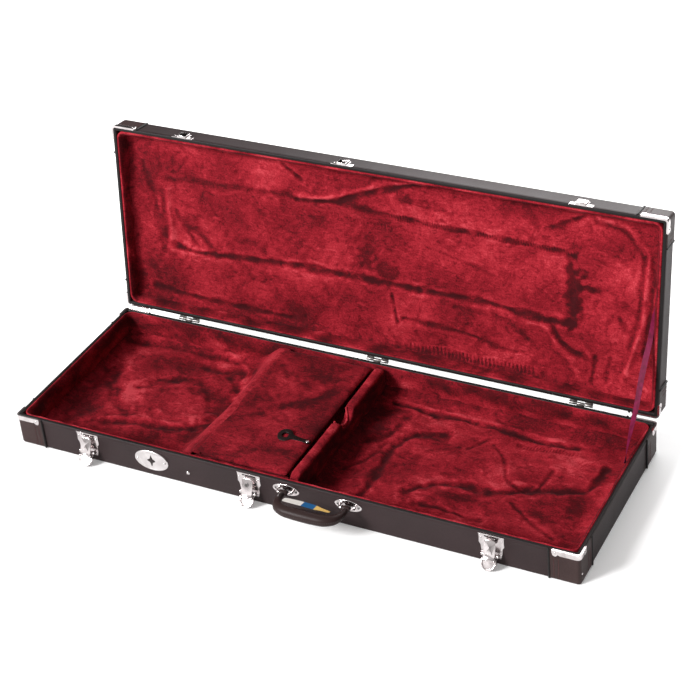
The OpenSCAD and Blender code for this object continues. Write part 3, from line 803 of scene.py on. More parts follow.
def end_nail(sx):
    """The domed nail low on a front corner cap, on the end face; levels are (radius, height)."""
    turn = turns(20)
    from_front, nail_z = 5.9, 19
    levels = [(1.9, -0.3), (1.9, 0.2), (1.6, 0.6), (0.9, 0.9), (0.3, 1.0)]
    rings = []
    for r, d in levels:
        x = np.full(len(turn), sx * (HALF_L + CAP_T + d))
        rings.append(np.stack([x, from_front - HALF_W + r * np.cos(turn), nail_z + r * np.sin(turn)], -1))
    return swept(rings)


def make_corners(kind, height, body, place=None):
    """The four corners of a tray: leather caps with welts and stitched seams, and metal clips."""
    caps, clips, beads, seams = [], [], [], []
    low_edge = 0.5
    for sx in (-1, 1):
        for sy in (-1, 1):
            caps.append(wrap(sx, sy, CAP_L, CAP_L, lambda u, e: low_edge + 0 * u, height - 0.5, 22,
                             cap_outer, lambda u, e, g: 0.05 + 0 * u))
            clips.append(wrap(sx, sy, CLIP_L, CLIP_SIDE, clip_low(height), height - 0.05, 9,
                              clip_outer, lambda u, e, g: CAP_T - 0.4 + 0 * u))
            flange_low = height - 0.4
            clips.append(wrap(sx, sy, CLIP_L - 1, CLIP_SIDE - 1, lambda u, e: flange_low + 0 * u,
                              height + 0.12, 3, lambda u, e, g: CAP_T + CLIP_T - 0.1 + 0 * u,
                              lambda u, e, g: -0.6 + 0 * u))
            points, out, along = corner_route(sx, sy, CAP_L, CAP_L)
            for k in (0, -1):
                foot = np.array([*(points[k] + out[k] * 0.9), 0.0])
                rise = np.array([(0.25, 1.4), (1.2, 2.0), (6, 2.1), (height - 3, 2.1),
                                 (height - 0.9, 1.9), (height - 0.1, 1.2)])
                beads.append(tube(foot + rise[:, :1] * (0, 0, 1), rise[:, 1], 14, up=(*out[k], 0)))
            for seam in (*CAP_SEAMS, along[-1] - CAP_SEAMS[1], along[-1] - CAP_SEAMS[0]):
                k = int(np.argmin(np.abs(along - seam)))
                up = np.array([*out[k], 0.0])
                foot = np.array([*points[k], 0.0]) + up * (CAP_T - 0.25)
                line = [foot + (0, 0, low_edge + 2), foot + (0, 0, height - CLIP_H - 3.5)]
                seams += stitches(line, up, 2.6, 0.42, 1.1)
    piece = build(f"{kind}_corner_leather", *merged(caps), CAP, body, "corner_leatherette", place, sharp=60)
    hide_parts(f"{kind}_corner_caps")
    build(f"{kind}_corner_welts", *merged(beads), EDGE, body, "corner_leatherette", place, sharp=60)
    if kind == "base":
        clips += [end_nail(sx) for sx in (-1, 1)]
    piece = build(f"{kind}_corner_metal", *merged(clips), NICKEL, body, "nickel", place, sharp=50)
    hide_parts(f"{kind}_corner_clips")
    build(f"{kind}_corner_stitching", *merged(seams), CAP_THREAD, body, "corner_leatherette", place)


make_corners("base", BASE_H, "base")
make_corners("lid", LID_H, "lid", LID)


# ---------------------------------------------------------------- plush linings of the base

plush_walls("base_wall_plush", IN_X, IN_Y, HALF_L - BOARD - IN_X, BOARD + 1, LINING_TOP + 0.6, "base",
            ["base_front_lining", "base_back_lining", "base_end_linings"], 11)

# A floor pad runs this far in behind the wall linings
TUCK = 1.5
BASE_WIDTH = (-IN_Y - TUCK, IN_Y + TUCK)

# Creases of the linings with their painted shade and highlights, and blots of turned nap and painted shadow,
# in the case's own x and y; relief() says what the numbers are
BODY_FOLDS = [
    ([(180, -80), (218, -44), (270, -33), (334, -27), (365, -4)], 7, 2.6, 0.42),
    ([(365, -6), (440, 16), (463, 43), (466, 87)], 6, 2.4, 0.40),
    ([(183, 82), (134, 64), (111, 29), (113, -29), (117, -82), (112, -112)], 7, 2.6, 0.36),
    ([(57, 133), (104, 130), (162, 129), (219, 130), (271, 125), (343, 118), (403, 122)], 4, 2.8, 0.40),
    ([(60, 141), (162, 137), (271, 133), (400, 128)], 3.5, -1.4, -0.16),
    ([(267, 84), (300, 52), (325, 2), (361, -11)], 3, 1.6, 0.26),
    ([(384, 56), (379, 1)], 2.6, 1.2, 0.26),
    ([(204, -102), (251, -100), (320, -106)], 3.4, 1.8, 0.34),
    ([(352, -46), (403, -83), (448, -108)], 3, 1.4, 0.26),
    ([(230, 60), (252, 96)], 3, 1.2, 0.24),
    ([(60, 20), (88, 52), (96, 104)], 5, 1.6, 0.22),
    ([(55, -60), (84, -20), (92, 30)], 4, 1.4, 0.2),
    *comb((305, 97), (400, 108), 5.5, 9, 0.2),
]
BODY_BLOTS = [
    (196, 48, 26, 13, 0.3), (240, -62, 62, 11, 0.28), (409, -65, 22, 14, 0.34), (455, -22, 13, 34, 0.32),
    (470, -95, 20, 22, 0.22), (150, 62, 50, 9, 0.22), (75, 100, 34, 30, 0.12), (330, 150, 150, 12, 0.10),
    # The long blot at x 38 is the divider's painted shadow on the body bay's floor
    (38, -10, 26, 190, 0.30), (240, 20, 90, 34, -0.14), (400, 60, 50, 36, -0.12),
    (290, 95, 120, 14, -0.10), (180, -120, 90, 12, -0.1),
]


def body_floor(x, y):
    h, nap_and_shading = relief(x, y, BODY_FOLDS, BODY_BLOTS, 31)
    rise = wall_rise(x, y, DIVIDER_HI[0], IN_X, IN_Y, 9, 13)
    shoulder = 3.5 / (1 + np.exp(-(y - 131) / 5))
    # Painted shade where the pad rises to the walls
    return FLOOR + 2.2 + 1.1 * h + rise + shoulder, nap_and_shading - 0.02 * rise


plush_sheet("body_bay_plush", (DIVIDER_HI[0] - 3, IN_X + TUCK), BASE_WIDTH, 2.6, BOARD + 0.2,
            body_floor, "base", ["body_floor_pad"])

HEAD_FOLDS = [
    ([(-403, -75), (-346, -62), (-295, -56), (-256, -46), (-232, -12)], 6, -2.4, -0.18),
    ([(-403, -86), (-346, -73), (-290, -68), (-244, -56)], 6, 2.2, 0.28),
    ([(-222, 69), (-245, 92), (-277, 112), (-319, 116)], 6, 1.8, 0.24),
    ([(-465, 61), (-456, 17), (-415, -33), (-374, -64)], 8, 1.4, 0.18),
    ([(-499, 140), (-425, 150), (-330, 150), (-258, 148)], 7, 1.6, 0.24),
    ([(-293, 163), (-262, 150), (-232, 128), (-226, 96)], 5, -2.6, -0.2),
    ([(-350, 60), (-320, 72), (-285, 60), (-262, 36)], 7, 1.2, 0.24),
    ([(-400, 20), (-380, 52), (-352, 60)], 7, 1.2, 0.22),
    ([(-330, -30), (-300, -40), (-262, -30)], 6, -1.2, -0.16),
    ([(-480, -120), (-440, -60), (-430, 0)], 8, 1.2, 0.12),
]
HEAD_BLOTS = [
    (-293, 47, 17, 12, 0.3), (-232, 20, 16, 60, 0.26), (-232, -60, 30, 34, 0.24),
    (-255, 120, 30, 12, 0.22),
    (-400, -20, 34, 40, -0.16), (-340, -10, 60, 34, -0.14), (-440, 60, 24, 60, -0.06),
    (-470, -40, 30, 110, 0.18), (-330, 110, 110, 18, 0.16), (-300, 158, 160, 9, -0.1),
    (-330, -120, 110, 30, 0.14),
]
RAMP_LIFT = 4.6


def ramp_share(x, y):
    """How far up the headstock ramp a point is, from 0 on the floor to 1 on its top."""
    foot = RAMP_X - 16 + 13 * np.cos((y - 30) / 70)
    share = np.clip((x - foot) / (RAMP_END - 1 - foot), 0, 1)
    return share * share * (3 - 2 * share)


def headstock_floor(x, y):
    h, nap_and_shading = relief(x, y, HEAD_FOLDS, HEAD_BLOTS, 47)
    rise = wall_rise(x, y, -IN_X, RAMP_END + 90, IN_Y, 9, 13)
    slope = ramp_share(x, y)
    z = FLOOR + 2.2 + 1.1 * h * (1 - 0.6 * slope) + rise * (1 - slope)
    z = z * (1 - slope) + (RAMP_TOP + RAMP_LIFT + 0.4 * h) * slope
    # Painted shade where the pad rises to the walls; lighter up the ramp
    return z, nap_and_shading - 0.02 * rise + 0.10 * slope


plush_sheet("headstock_bay_plush", (-IN_X - TUCK, RAMP_END - 1.0), BASE_WIDTH, 2.6, BOARD + 0.2,
            headstock_floor, "base", ["headstock_floor_pad", "headstock_ramp"])


def box_floor(x, y):
    h, nap_and_shading = relief(x, y, [], [], 53)
    return FLOOR + 1.2 + 0.7 * h + wall_rise(x, y, RAMP_END, DIVIDER_LO[0], IN_Y, 3, 8), nap_and_shading - 0.1


plush_sheet("accessory_floor_plush", (RAMP_END - 2, DIVIDER_LO[0] + TUCK), BASE_WIDTH, 4.0,
            BOARD + 0.2, box_floor, "base", ["accessory_floor_pad"])


def make_ledges():
    """The two plush-covered foam strips that the box lid rests on."""
    parts = []
    top = corner("accessory_ledges", 1)[2]
    for side in (-1, 1):
        xs = np.arange(RAMP_END + 1, DIVIDER_LO[0] - 1, 4.0)
        rings = []
        for x in xs:
            wob = 0.35 * crumple(np.array([x]), np.array([side * 40.0]), 61, 20, 70)[0]
            c, s = np.cos(turns(20)), np.sin(turns(20))
            y = side * (IN_Y - 4.0) + 4.2 * np.sign(c) * np.abs(c) ** 0.55
            z = top - 5.2 + (5.0 + wob) * np.sign(s) * np.abs(s) ** 0.55
            rings.append(np.stack([np.full(20, x), y, z], -1))
        parts.append(swept(rings))
    points, faces = merged(parts)
    piece = build("accessory_ledge_plush", points, faces, PLUSH, "base", "plush", sharp=70)
    upholster(piece, 0.1 * crumple(points[:, 0], points[:, 1], 63, 20, 90) - 0.1, ["accessory_ledges"])


make_ledges()


# ---------------------------------------------------------------- divider and its finger notch

NOTCH_Y, NOTCH_R, NOTCH_Z = 16.0, 24.0, DIVIDER_HI[2] + 3


def divider_top(y):
    """Height of the divider along its length, dipping at the finger notch."""
    inside = np.clip(NOTCH_R**2 - (y - NOTCH_Y) ** 2, 0, None)
    dip = NOTCH_Z - np.sqrt(inside)
    top = np.minimum(DIVIDER_HI[2], np.where(inside > 0, dip, 99.0))
    end = np.clip((IN_Y - 1.2 - np.abs(y)) / 5.0, 0, 1)
    return BASE_H - 3 + (top - BASE_H + 3) * np.where(top < BASE_H, 1.0, end)


def make_divider():
    """The padded divider, with painted shade on its side towards the body bay and painted light along its
    top, and the piping of its notch.
    """
    half = (DIVIDER_HI[0] - DIVIDER_LO[0]) / 2
    middle = (DIVIDER_HI[0] + DIVIDER_LO[0]) / 2
    edge_r = 5
    ys = np.arange(-IN_Y, IN_Y + 0.1, 2.5)
    tops = np.convolve(np.pad(divider_top(ys), 1, mode="edge"), (0.25, 0.5, 0.25), "valid")
    rings = []
    for y, top in zip(ys, tops):
        roll = [
            (half - 0.4 - edge_r * (1 - math.cos(t)), top - edge_r * (1 - math.sin(t)))
            for t in np.linspace(0, math.pi / 2, 7)
        ]
        side = [(half - 0.4, z) for z in np.linspace(BOARD + 1, top - edge_r, 9)[:-1]]
        right = side + roll
        section = right + [(-x, z) for x, z in right[::-1]]
        ring = np.array([(middle + x, y, z) for x, z in section])
        bulge = np.sin(np.pi * np.clip((ring[:, 2] - BOARD) / (top - BOARD), 0, 1))
        sway = crumple(np.full(len(ring), y), 2 * ring[:, 2] + 50 * np.sign(ring[:, 0] - middle), 71, 30, 120)
        ring[:, 0] += np.sign(ring[:, 0] - middle) * bulge * (0.1 + 0.5 * sway)
        rings.append(ring)
    points, faces = swept(rings)
    piece = build("divider_plush", points, faces, PLUSH, "base", "plush", sharp=70)
    puff(piece, 4.0, 2.5, 1.2)
    co = vertices_mm(piece)
    nap_and_shading = 0.12 * crumple(co[:, 1], co[:, 2] * 2, 73, 25, 120)
    # Painted light along the top, above the rim
    nap_and_shading += 0.04 * (co[:, 2] > BASE_H)
    # Painted shade on the side that faces the body bay
    shaded_side = np.clip((co[:, 0] - middle - half + 4) / 3, 0, 1) * np.clip((60 - co[:, 2]) / 4, 0, 1)
    upholster(piece, nap_and_shading - 0.34 * shaded_side, ["divider"])

    angles = np.radians(np.linspace(196, 344, 26))
    arc_r = NOTCH_R - 0.4
    arc = [
        (DIVIDER_LO[0] + 3.0 + 9 * math.sin(a - math.pi) ** 2, NOTCH_Y + arc_r * math.cos(a),
         NOTCH_Z + arc_r * math.sin(a))
        for a in angles
    ]
    piping = build("notch_piping", *tube(arc, 2.0, 12, up=(1, 0, 0)), PLUSH, "base", "plush", sharp=70)
    # The piping is painted lighter: a painted highlight on the raised loop
    set_nap_and_shading(piping, np.full(len(piping.data.vertices), 0.22))


make_divider()


# ---------------------------------------------------------------- accessory box lid

BOX_FOLDS = [
    ([(-150, 110), (-110, 84), (-70, 66)], 8, 1.0, 0.16),
    ([(-120, -20), (-60, 20), (-20, 80)], 9, 1.0, 0.2),
    ([(-160, -60), (-110, -30), (-70, -36)], 9, 0.9, 0.14),
    ([(-100, -140), (-50, -110), (-10, -112)], 8, 0.9, 0.16),
]
BOX_BLOTS = [
    (-120, 82, 30, 22, -0.26), (-62, 104, 46, 18, 0.26), (-60, 20, 60, 22, 0.22), (-110, -60, 44, 40, -0.1),
    (-30, -120, 30, 22, -0.08), (-140, 20, 24, 40, 0.12), (-80, 140, 70, 14, 0.08),
]


def make_box_lid():
    """A crowned cushion with rolled edges, simulated, then brushed."""
    half = np.array([(BOX_HI[0] - BOX_LO[0]) / 2, BOX_HI[1]])
    centre = (BOX_HI[0] + BOX_LO[0]) / 2
    xs = centre + half[0] * np.sin(np.linspace(-np.pi / 2, np.pi / 2, 44))
    ys = half[1] * np.sin(np.linspace(-np.pi / 2, np.pi / 2, 76))
    x, y = np.meshgrid(xs, ys, indexing="ij")
    edge = np.minimum(half[0] - np.abs(x - centre), half[1] - np.abs(y))
    thick = BOX_HI[2] - BOX_LO[2]
    swell = np.sqrt(np.clip(1 - (1 - np.clip(edge / 4.5, 0, 1)) ** 2, 0, 1))
    h, _ = relief(x, y, BOX_FOLDS, [], 83)
    middle = BOX_LO[2] + thick / 2
    top = middle + swell * (thick / 2 + 0.4 + 0.45 * h)
    under = middle - swell * (thick / 2 - 0.2)
    outer, inner = np.stack([x, y, top], -1), np.stack([x, y, under], -1)
    piece = build("accessory_lid_plush", *closed_patch(outer, inner), PLUSH, "box_lid", "plush", sharp=80)
    puff(piece, 4.0, 3.0, 1.6)
    co = vertices_mm(piece)
    _, nap_and_shading = relief(co[:, 0], co[:, 1], BOX_FOLDS, BOX_BLOTS, 83)
    upholster(piece, nap_and_shading - 0.10, ["accessory_lid"])


make_box_lid()


def make_box_hinge():
    """The plush that runs from the ramp over the lid's left edge."""
    xs = np.linspace(RAMP_END - 16, RAMP_END + 16, 24)
    ys = np.arange(-IN_Y + 2, IN_Y - 1.9, 3.0)
    x, y = np.meshgrid(xs, ys, indexing="ij")
    low, _ = headstock_floor(np.minimum(x, RAMP_END - 1), y)
    over = np.clip((x - RAMP_END + 7) / 12, 0, 1)
    over = over * over * (3 - 2 * over)
    level = low * (1 - over) + (BOX_HI[2] + 0.7) * over
    sink = 1.3 * (1 - np.sin(np.pi * np.clip((x - xs[0]) / (xs[-1] - xs[0]), 0, 1)) ** 0.5)
    soft = 0.5 * crumple(x, y, 91, 18, 80)
    top = np.stack([x, y, level + (0.5 + soft) * (1 - np.abs(2 * over - 1)) + 0.35 - sink], -1)
    under = top - np.array([0, 0, 1.6])
    points, faces = closed_patch(top, under)
    piece = build("accessory_hinge_plush", points, faces, PLUSH, None, "plush", sharp=80)
    _, nap_and_shading = headstock_floor(points[:, 0], points[:, 1])
    set_nap_and_shading(piece, nap_and_shading - 0.03)
    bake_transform(piece)


make_box_hinge()


def make_pull_tab():
    """A leather ring with a stem to its rivet, cut from thick leather with rolled edges."""
    ring_r, hole_r, stem = 14.0, 5.4, 5.2
    centre = np.array([TAB_LO[0] + ring_r, (TAB_LO[1] + TAB_HI[1]) / 2])
    far = TAB_HI[0] - 4.5
    low, high = TAB_LO[2], TAB_HI[2]
    step = 0.5
    xs = np.arange(TAB_LO[0] - 1, TAB_HI[0] + 1, step)
    ys = np.arange(TAB_LO[1] - 1, TAB_HI[1] + 1, step)
    x, y = np.meshgrid(xs, ys, indexing="ij")
    ring = np.abs(np.hypot(x - centre[0], y - centre[1]) - (ring_r + hole_r) / 2) - (ring_r - hole_r) / 2
    along = np.clip(x, centre[0] + ring_r - 3, far)
    neck = 1.0 * np.cos(np.pi * np.clip((x - centre[0] - ring_r) / 16, -1, 1))
    bar = np.hypot(x - along, y - centre[1]) - stem - np.where(x < far, 0.3 * neck, 0)
    blend = np.clip(0.5 + 0.5 * (bar - ring) / 3, 0, 1)
    field = bar * (1 - blend) + ring * blend - 3 * blend * (1 - blend)
    inside = -field
    rows, columns = x.shape
    keep = inside > 0
    dome = (high - low) / 2 * np.sqrt(np.clip(1 - (1 - np.clip(inside / 1.3, 0, 1)) ** 2, 0, 1))
    loose = np.clip((far - 6 - x) / 30, 0, 1)
    middle = (high + low) / 2 + 4.5 * loose**2 * np.clip(0.5 + (y - centre[1]) / (2 * ring_r), 0, 1)
    dome = dome * (1 + 0.6 * loose)
    points = np.concatenate([np.stack([x, y, middle + dome], -1).reshape(-1, 3),
                             np.stack([x, y, middle - dome], -1).reshape(-1, 3)])
    faces = []
    n = rows * columns
    for i in range(rows - 1):
        for j in range(columns - 1):
            if keep[i:i + 2, j:j + 2].all():
                a = i * columns + j
                faces.append((a, a + columns, a + columns + 1, a + 1))
                faces.append((n + a, n + a + 1, n + a + columns + 1, n + a + columns))
    edge_faces = {}
    for f in faces[::2]:
        for a, b in zip(f, f[1:] + f[:1]):
            edge_faces[(a, b)] = edge_faces.get((a, b), 0) + 1
    for a, b in edge_faces:
        if (b, a) not in edge_faces:
            faces.append((b, a, a + n, b + n))
    used = sorted({i for f in faces for i in f})
    place = {old: new for new, old in enumerate(used)}
    piece = build("pull_tab_leather", points[used], [tuple(place[i] for i in f) for f in faces],
                  TAB_LEATHER, "box_lid", "handle_leather", sharp=75)
    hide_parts("pull_tab")


make_pull_tab()


# ---------------------------------------------------------------- plush of the lid

LID_IN_X, LID_IN_Y = HALF_L - BOARD - LID_LINING, HALF_W - BOARD - LID_LINING
plush_walls("lid_wall_plush", LID_IN_X, LID_IN_Y, LID_LINING, BOARD + 1, LID_H - 0.8, "lid",
            ["lid_front_lining", "lid_back_lining", "lid_end_linings"], 101, LID)

NECK_X, NECK_Y = (-428.0, 361.0), (-47.0, 86.0)

# The lid's creases, with the lid lying as a tray: y runs away from the hinges
LID_FOLDS = [
    ([(-424, -47), (-382, -54), (-310, -50), (-186, -43), (-67, -42), (75, -43)], 4, 1.8, 0.42),
    ([(75, -43), (197, -43), (278, -49), (330, -51), (361, -49)], 4, 1.8, 0.40),
    ([(-430, 83), (-342, 87), (-260, 90), (-160, 93)], 5, 1.2, 0.2),
    ([(-120, 94), (-25, 93), (91, 84), (214, 83), (300, 79), (361, 75)], 5, 1.2, 0.2),
    ([(-430, 80), (-430, 40), (-425, -6), (-427, -56)], 5, -1.8, -0.16),
    ([(-438, 60), (-440, 20), (-436, -40)], 5, 1.0, 0.2),
    ([(-475, 110), (-456, 36), (-451, -11), (-442, -57)], 5, 1.2, 0.16),
    ([(-160, 95), (-90, 105), (-43, 125), (14, 146), (77, 164)], 4.5, -3.0, -0.22),
    ([(-160, 88), (-90, 97), (-43, 116), (14, 137), (80, 158)], 4, 1.8, 0.34),
    ([(-181, 153), (-147, 130)], 3, 1.6, 0.34),
    ([(-468, -140), (-359, -146), (-233, -148), (-172, -148)], 4, 1.6, 0.26),
    ([(-414, 19), (-392, -16), (-369, -48)], 5, 1.0, 0.2),
    ([(-390, 8), (-363, -23), (-335, -46)], 7, 1.2, 0.22),
    ([(320, -52), (334, -80), (355, -97), (372, -104)], 5, 2.0, 0.34),
    ([(278, -56), (313, -66), (330, -90), (352, -108), (376, -150)], 5, -1.6, -0.12),
    ([(90, 39), (172, 22), (215, 8)], 2.5, 0.8, 0.12),
    ([(23, -59), (28, -86), (34, -113)], 2.5, 1.2, 0.32),
    ([(45, -103), (126, -105), (187, -111), (233, -123), (276, -122)], 3.5, 1.6, 0.26),
    ([(144, -61), (215, -65), (258, -78), (279, -95)], 6, 1.2, 0.16),
    ([(401, 153), (447, 146), (474, 120), (488, 99), (484, 30), (480, -24), (466, -80), (451, -134)],
     4, -2.4, -0.16),
    ([(396, 143), (441, 136), (465, 112), (478, 90), (475, 30), (471, -24), (458, -78)], 3.5, 1.4, 0.2),
    ([(451, -130), (466, -142), (479, -153)], 4, 1.4, 0.22),
    ([(494, 93), (495, 31), (492, -10), (484, -80)], 3.5, 1.8, 0.26),
    ([(400, -102), (397, -126), (394, -150)], 3, 1.2, 0.26),
    ([(426, -100), (422, -126), (420, -148)], 3, 1.2, 0.22),
    ([(309, 118), (345, 136), (375, 152)], 3.5, 1.6, 0.3),
    ([(440, -20), (452, -44)], 3, 1.0, 0.2),
    *comb((20, 88), (358, 80), 5.5, 9, 0.26),
    *comb((-100, 70), (30, 64), 6.5, 7, 0.10),
    *comb((60, -154), (290, -152), 7.0, 10, 0.30),
]
# The dark blots at (358, 12) and (385, 21) are painted shadow at the right end of the neck recess, and the
# lighter one at (340, 10) a painted highlight beside it
LID_BLOTS = [
    (-24, 8, 15, 26, 0.30), (14, -20, 26, 24, 0.30), (358, 12, 15, 66, 0.62), (340, 10, 7, 60, -0.12),
    (350, -44, 14, 10, 0.3), (385, 21, 16, 7, 0.6), (-360, -24, 34, 28, 0.2), (-270, -14, 20, 9, 0.24),
    (48, 128, 18, 10, 0.3), (100, 122, 44, 10, 0.22), (-62, 104, 22, 14, 0.26), (330, 122, 14, 10, 0.22),
    (170, -160, 130, 8, 0.26), (-440, -110, 50, 34, 0.16), (-470, 100, 30, 50, 0.14),
    (-300, 20, 120, 50, -0.05), (200, 20, 140, 46, -0.06), (160, 110, 150, 30, -0.10),
    (420, 60, 60, 90, -0.05), (400, -60, 60, 60, -0.03), (240, -95, 70, 20, 0.08),
    (-250, 130, 120, 26, -0.04), (-100, -90, 150, 24, 0.08), (390, 45, 20, 7, 0.22), (405, 25, 24, 6, 0.18),
]


def neck_recess(x, y):
    """How far inside the moulded recess for the guitar's neck a point is, from 0 outside to 1."""
    left = 1 / (1 + np.exp(-(x - NECK_X[0]) / 5))
    right = 1 / (1 + np.exp((x - NECK_X[1]) / 2.5))
    upper = 1 / (1 + np.exp((y - NECK_Y[1] + 0.012 * (x + 400)) / 4))
    lower = 1 / (1 + np.exp(-(y - NECK_Y[0]) / 2.5))
    return left * right * upper * lower


def lid_pad(x, y):
    h, nap_and_shading = relief(x, y, LID_FOLDS, LID_BLOTS, 113)
    rise = wall_rise(x, y, -LID_IN_X, LID_IN_X, LID_IN_Y, 5, 9)
    inside = neck_recess(x, y)
    # Painted shade where the pad rises to the walls
    return FLOOR + 6.2 - 5.0 * inside + 1.1 * h + rise, nap_and_shading - 0.03 * rise


plush_sheet("lid_pad_plush", (-LID_IN_X - TUCK, LID_IN_X + TUCK), (-LID_IN_Y - TUCK, LID_IN_Y + TUCK), 2.4,
            BOARD + 0.2, lid_pad, "lid", ["lid_top_pad"], LID)


# ---------------------------------------------------------------- stay ribbon

RIBBON_ROUTE = [(68, 50), (122, 92), (178, 160), (218, 216), (229, 278)]
RIBBON_WIDTH, RIBBON_THICK = 11.0, 0.45
RIBBON_TWIST = math.radians(74)


def make_ribbon():
    """A satin ribbon from the lid's end wall down to the base's, twisted and slightly bellied.

    Its route gives (y, z) down the end wall. It bends near the hinges.
    """
    lo, hi = corner("stay_ribbon", 0), corner("stay_ribbon", 1)
    route = smooth_line(RIBBON_ROUTE, 14)
    ahead = unit(np.gradient(route, axis=0))
    across = np.stack([-ahead[:, 1], ahead[:, 0]], -1)
    wide = np.linspace(-RIBBON_WIDTH / 2, RIBBON_WIDTH / 2, 9)
    share = np.linspace(0, 1, len(route))
    s, w = np.meshgrid(np.arange(len(route)), wide, indexing="ij")
    turn = (RIBBON_TWIST * np.sin(np.pi * np.clip(share * 1.06 - 0.03, 0, 1)) ** 0.7)[s]
    belly = 1.2 * np.sin(3 * np.pi * share)[s] * np.sin(np.pi * share)[s]
    x = (lo[0] + hi[0]) / 2 - 0.5 - 5.6 * np.sin(turn) - np.abs(belly)
    flat = np.cos(turn) * w
    y, z = route[s, 0] + across[s, 0] * flat, route[s, 1] + across[s, 1] * flat
    grid = np.stack([x + np.sin(turn) * w, y, z], -1)
    face = np.stack([np.cos(turn), -np.sin(turn) * across[s, 0], -np.sin(turn) * across[s, 1]], -1)
    points, faces = closed_patch(grid, grid + RIBBON_THICK * face)
    ribbon = build("stay_ribbon_satin", points, faces, RIBBON, None, "satin_ribbon", sharp=60)
    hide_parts("stay_ribbon")
    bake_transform(ribbon)


make_ribbon()


# ---------------------------------------------------------------- handle

HANDLE_LEAN = math.radians(88)
HANDLE_GAP = 57.0
HANDLE_DOWN = np.array([0, -math.sin(HANDLE_LEAN), -math.cos(HANDLE_LEAN)])
HANDLE_OUT = np.array([0, -math.cos(HANDLE_LEAN), math.sin(HANDLE_LEAN)])


def on_handle(x, down, out=0.0):
    """A point of the handle: x from its middle, down from its bars in its plane, out of its plane."""
    x, down, out = np.broadcast_arrays(np.asarray(x, float), down, out)
    sideways = x[..., None] * np.array([1, 0, 0])
    return HANDLE_AXIS + sideways + down[..., None] * HANDLE_DOWN + out[..., None] * HANDLE_OUT


def make_handle():
    """The padded grip, its two rows of stitches, and the loops round the bars of the brackets.

    The table gives (x, down, radius) along the grip.
    """
    half = [(HANDLE_GAP + 0.6, 3.4, 4.6), (HANDLE_GAP + 1.2, 12, 5.4), (HANDLE_GAP - 0.8, 22.5, 6.9),
            (HANDLE_GAP - 7.5, 32.5, 8.6), (HANDLE_GAP - 21, 38.8, 9.7), (HANDLE_GAP - 40, 40, 10.3)]
    table = half + [(0, 40.2, 10.5)] + [(-x, d, r) for x, d, r in half[::-1]]
    route = smooth_line(table, 9)
    path = on_handle(route[:, 0], route[:, 1])
    ahead = unit(np.gradient(path, axis=0))
    inward = np.cross(ahead, HANDLE_OUT)
    turn = turns(40)
    rings = []
    for p, r, side in zip(path, route[:, 2], inward):
        seam = 1 - 0.07 * np.exp(-((np.angle(np.exp(1j * (turn - 1.5 * np.pi))) / 0.16) ** 2))
        wide = np.abs(np.cos(turn)) ** 0.94 * np.sign(np.cos(turn)) * 0.93
        tall = np.sin(turn)
        rings.append(p + r * (np.outer(wide * seam, HANDLE_OUT) - np.outer(tall * seam, side)))
    grip = build("handle_leather_grip", *swept(rings), LEATHER, "handle", "handle_leather", sharp=70)
    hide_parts("handle_grip")

    seam_line, outs = [], []
    middle = slice(14, len(route) - 14)
    for p, r, side in zip(path[middle], route[middle, 2], inward[middle]):
        outward = side if np.dot(side, HANDLE_DOWN) > 0 else -side
        seam_line.append(p + outward * (r * 0.95) + HANDLE_OUT * 2.2)
        outs.append(outward)
    rows = stitches(seam_line, np.array(outs), 2.4, 0.45, 1.2)
    rows += stitches(np.array(seam_line) - HANDLE_OUT * 4.4, np.array(outs), 2.4, 0.45, 1.2)
    build("handle_stitching", *merged(rows), BLACK_THREAD, "handle", "handle_leather")

    section = [(2.7, -7.2), (4.3, -7.6), (5.0, -6.6), (5.1, 0), (5.0, 6.6), (4.3, 7.6), (2.7, 7.2), (2.55, 0)]
    loops = []
    for side in (-1, 1):
        rings = [
            [(side * HANDLE_GAP + along, r * math.cos(t), r * math.sin(t)) for r, along in section]
            for t in turns(28)
        ]
        points, faces = swept(np.array(rings), closed=True)
        loops.append((HANDLE_AXIS + points, faces))
    build("handle_bar_loops", *merged(loops), LEATHER, "handle", "handle_leather", sharp=50)


make_handle()


def make_tag():
    """A split ring round the handle's left neck, and a strip of card in three colours along the grip."""
    ring_x, ring_down, ring_r = -HANDLE_GAP - 0.9, 11.0, 7.3
    coil = np.radians(np.arange(0, 720, 12))
    wire = on_handle(ring_x + 0.9 * coil / coil[-1] - 0.4, ring_down + ring_r * np.sin(coil),
                     ring_r * np.cos(coil))
    build("tag_ring", *tube(wire, 0.55, 8, up=(1, 0, 0)), NICKEL, "handle", "nickel", sharp=60)
    card = vinyl_material("tag_card", (0.50, 0.48, 0.45), (0.70, 0.68, 0.64), 0.5, 0.8)
    blue = vinyl_material("tag_blue", (0.004, 0.060, 0.160), (0.008, 0.11, 0.28), 0.5, 0.8)
    yellow = vinyl_material("tag_yellow", (0.52, 0.33, 0.09), (0.72, 0.48, 0.15), 0.5, 0.8)
    start, end = np.array([-44.0, 23.5]), np.array([42.0, 26.0])
    stops = [(0.0, 4.0), (0.05, 5.6), (0.3, 6.0), (0.66, 6.0), (0.72, 5.4), (0.82, 3.8), (0.97, 3.0),
             (1.0, 2.0)]
    ahead = (end - start) / np.linalg.norm(end - start)
    across = np.array([-ahead[1], ahead[0]])
    pieces = [("tag_white", card, 0.0, 0.42), ("tag_band", blue, 0.42, 0.69), ("tag_tip", yellow, 0.69, 1.0)]
    for name, material, a, b in pieces:
        share = np.linspace(a, b, 14)
        half = np.interp(share, [s[0] for s in stops], [s[1] for s in stops])
        s, w = np.meshgrid(np.arange(14), np.linspace(-1, 1, 5), indexing="ij")
        flat = start + (end - start) * share[s][..., None] + across * (half[s] * w)[..., None]
        curl = 9.5 + 1.6 * np.sin(np.pi * share[s]) + 0.9 * w
        top = on_handle(flat[..., 0], flat[..., 1], curl)
        build(name, *closed_patch(top, top - HANDLE_OUT * 0.35), material, "handle", sharp=60)


make_tag()


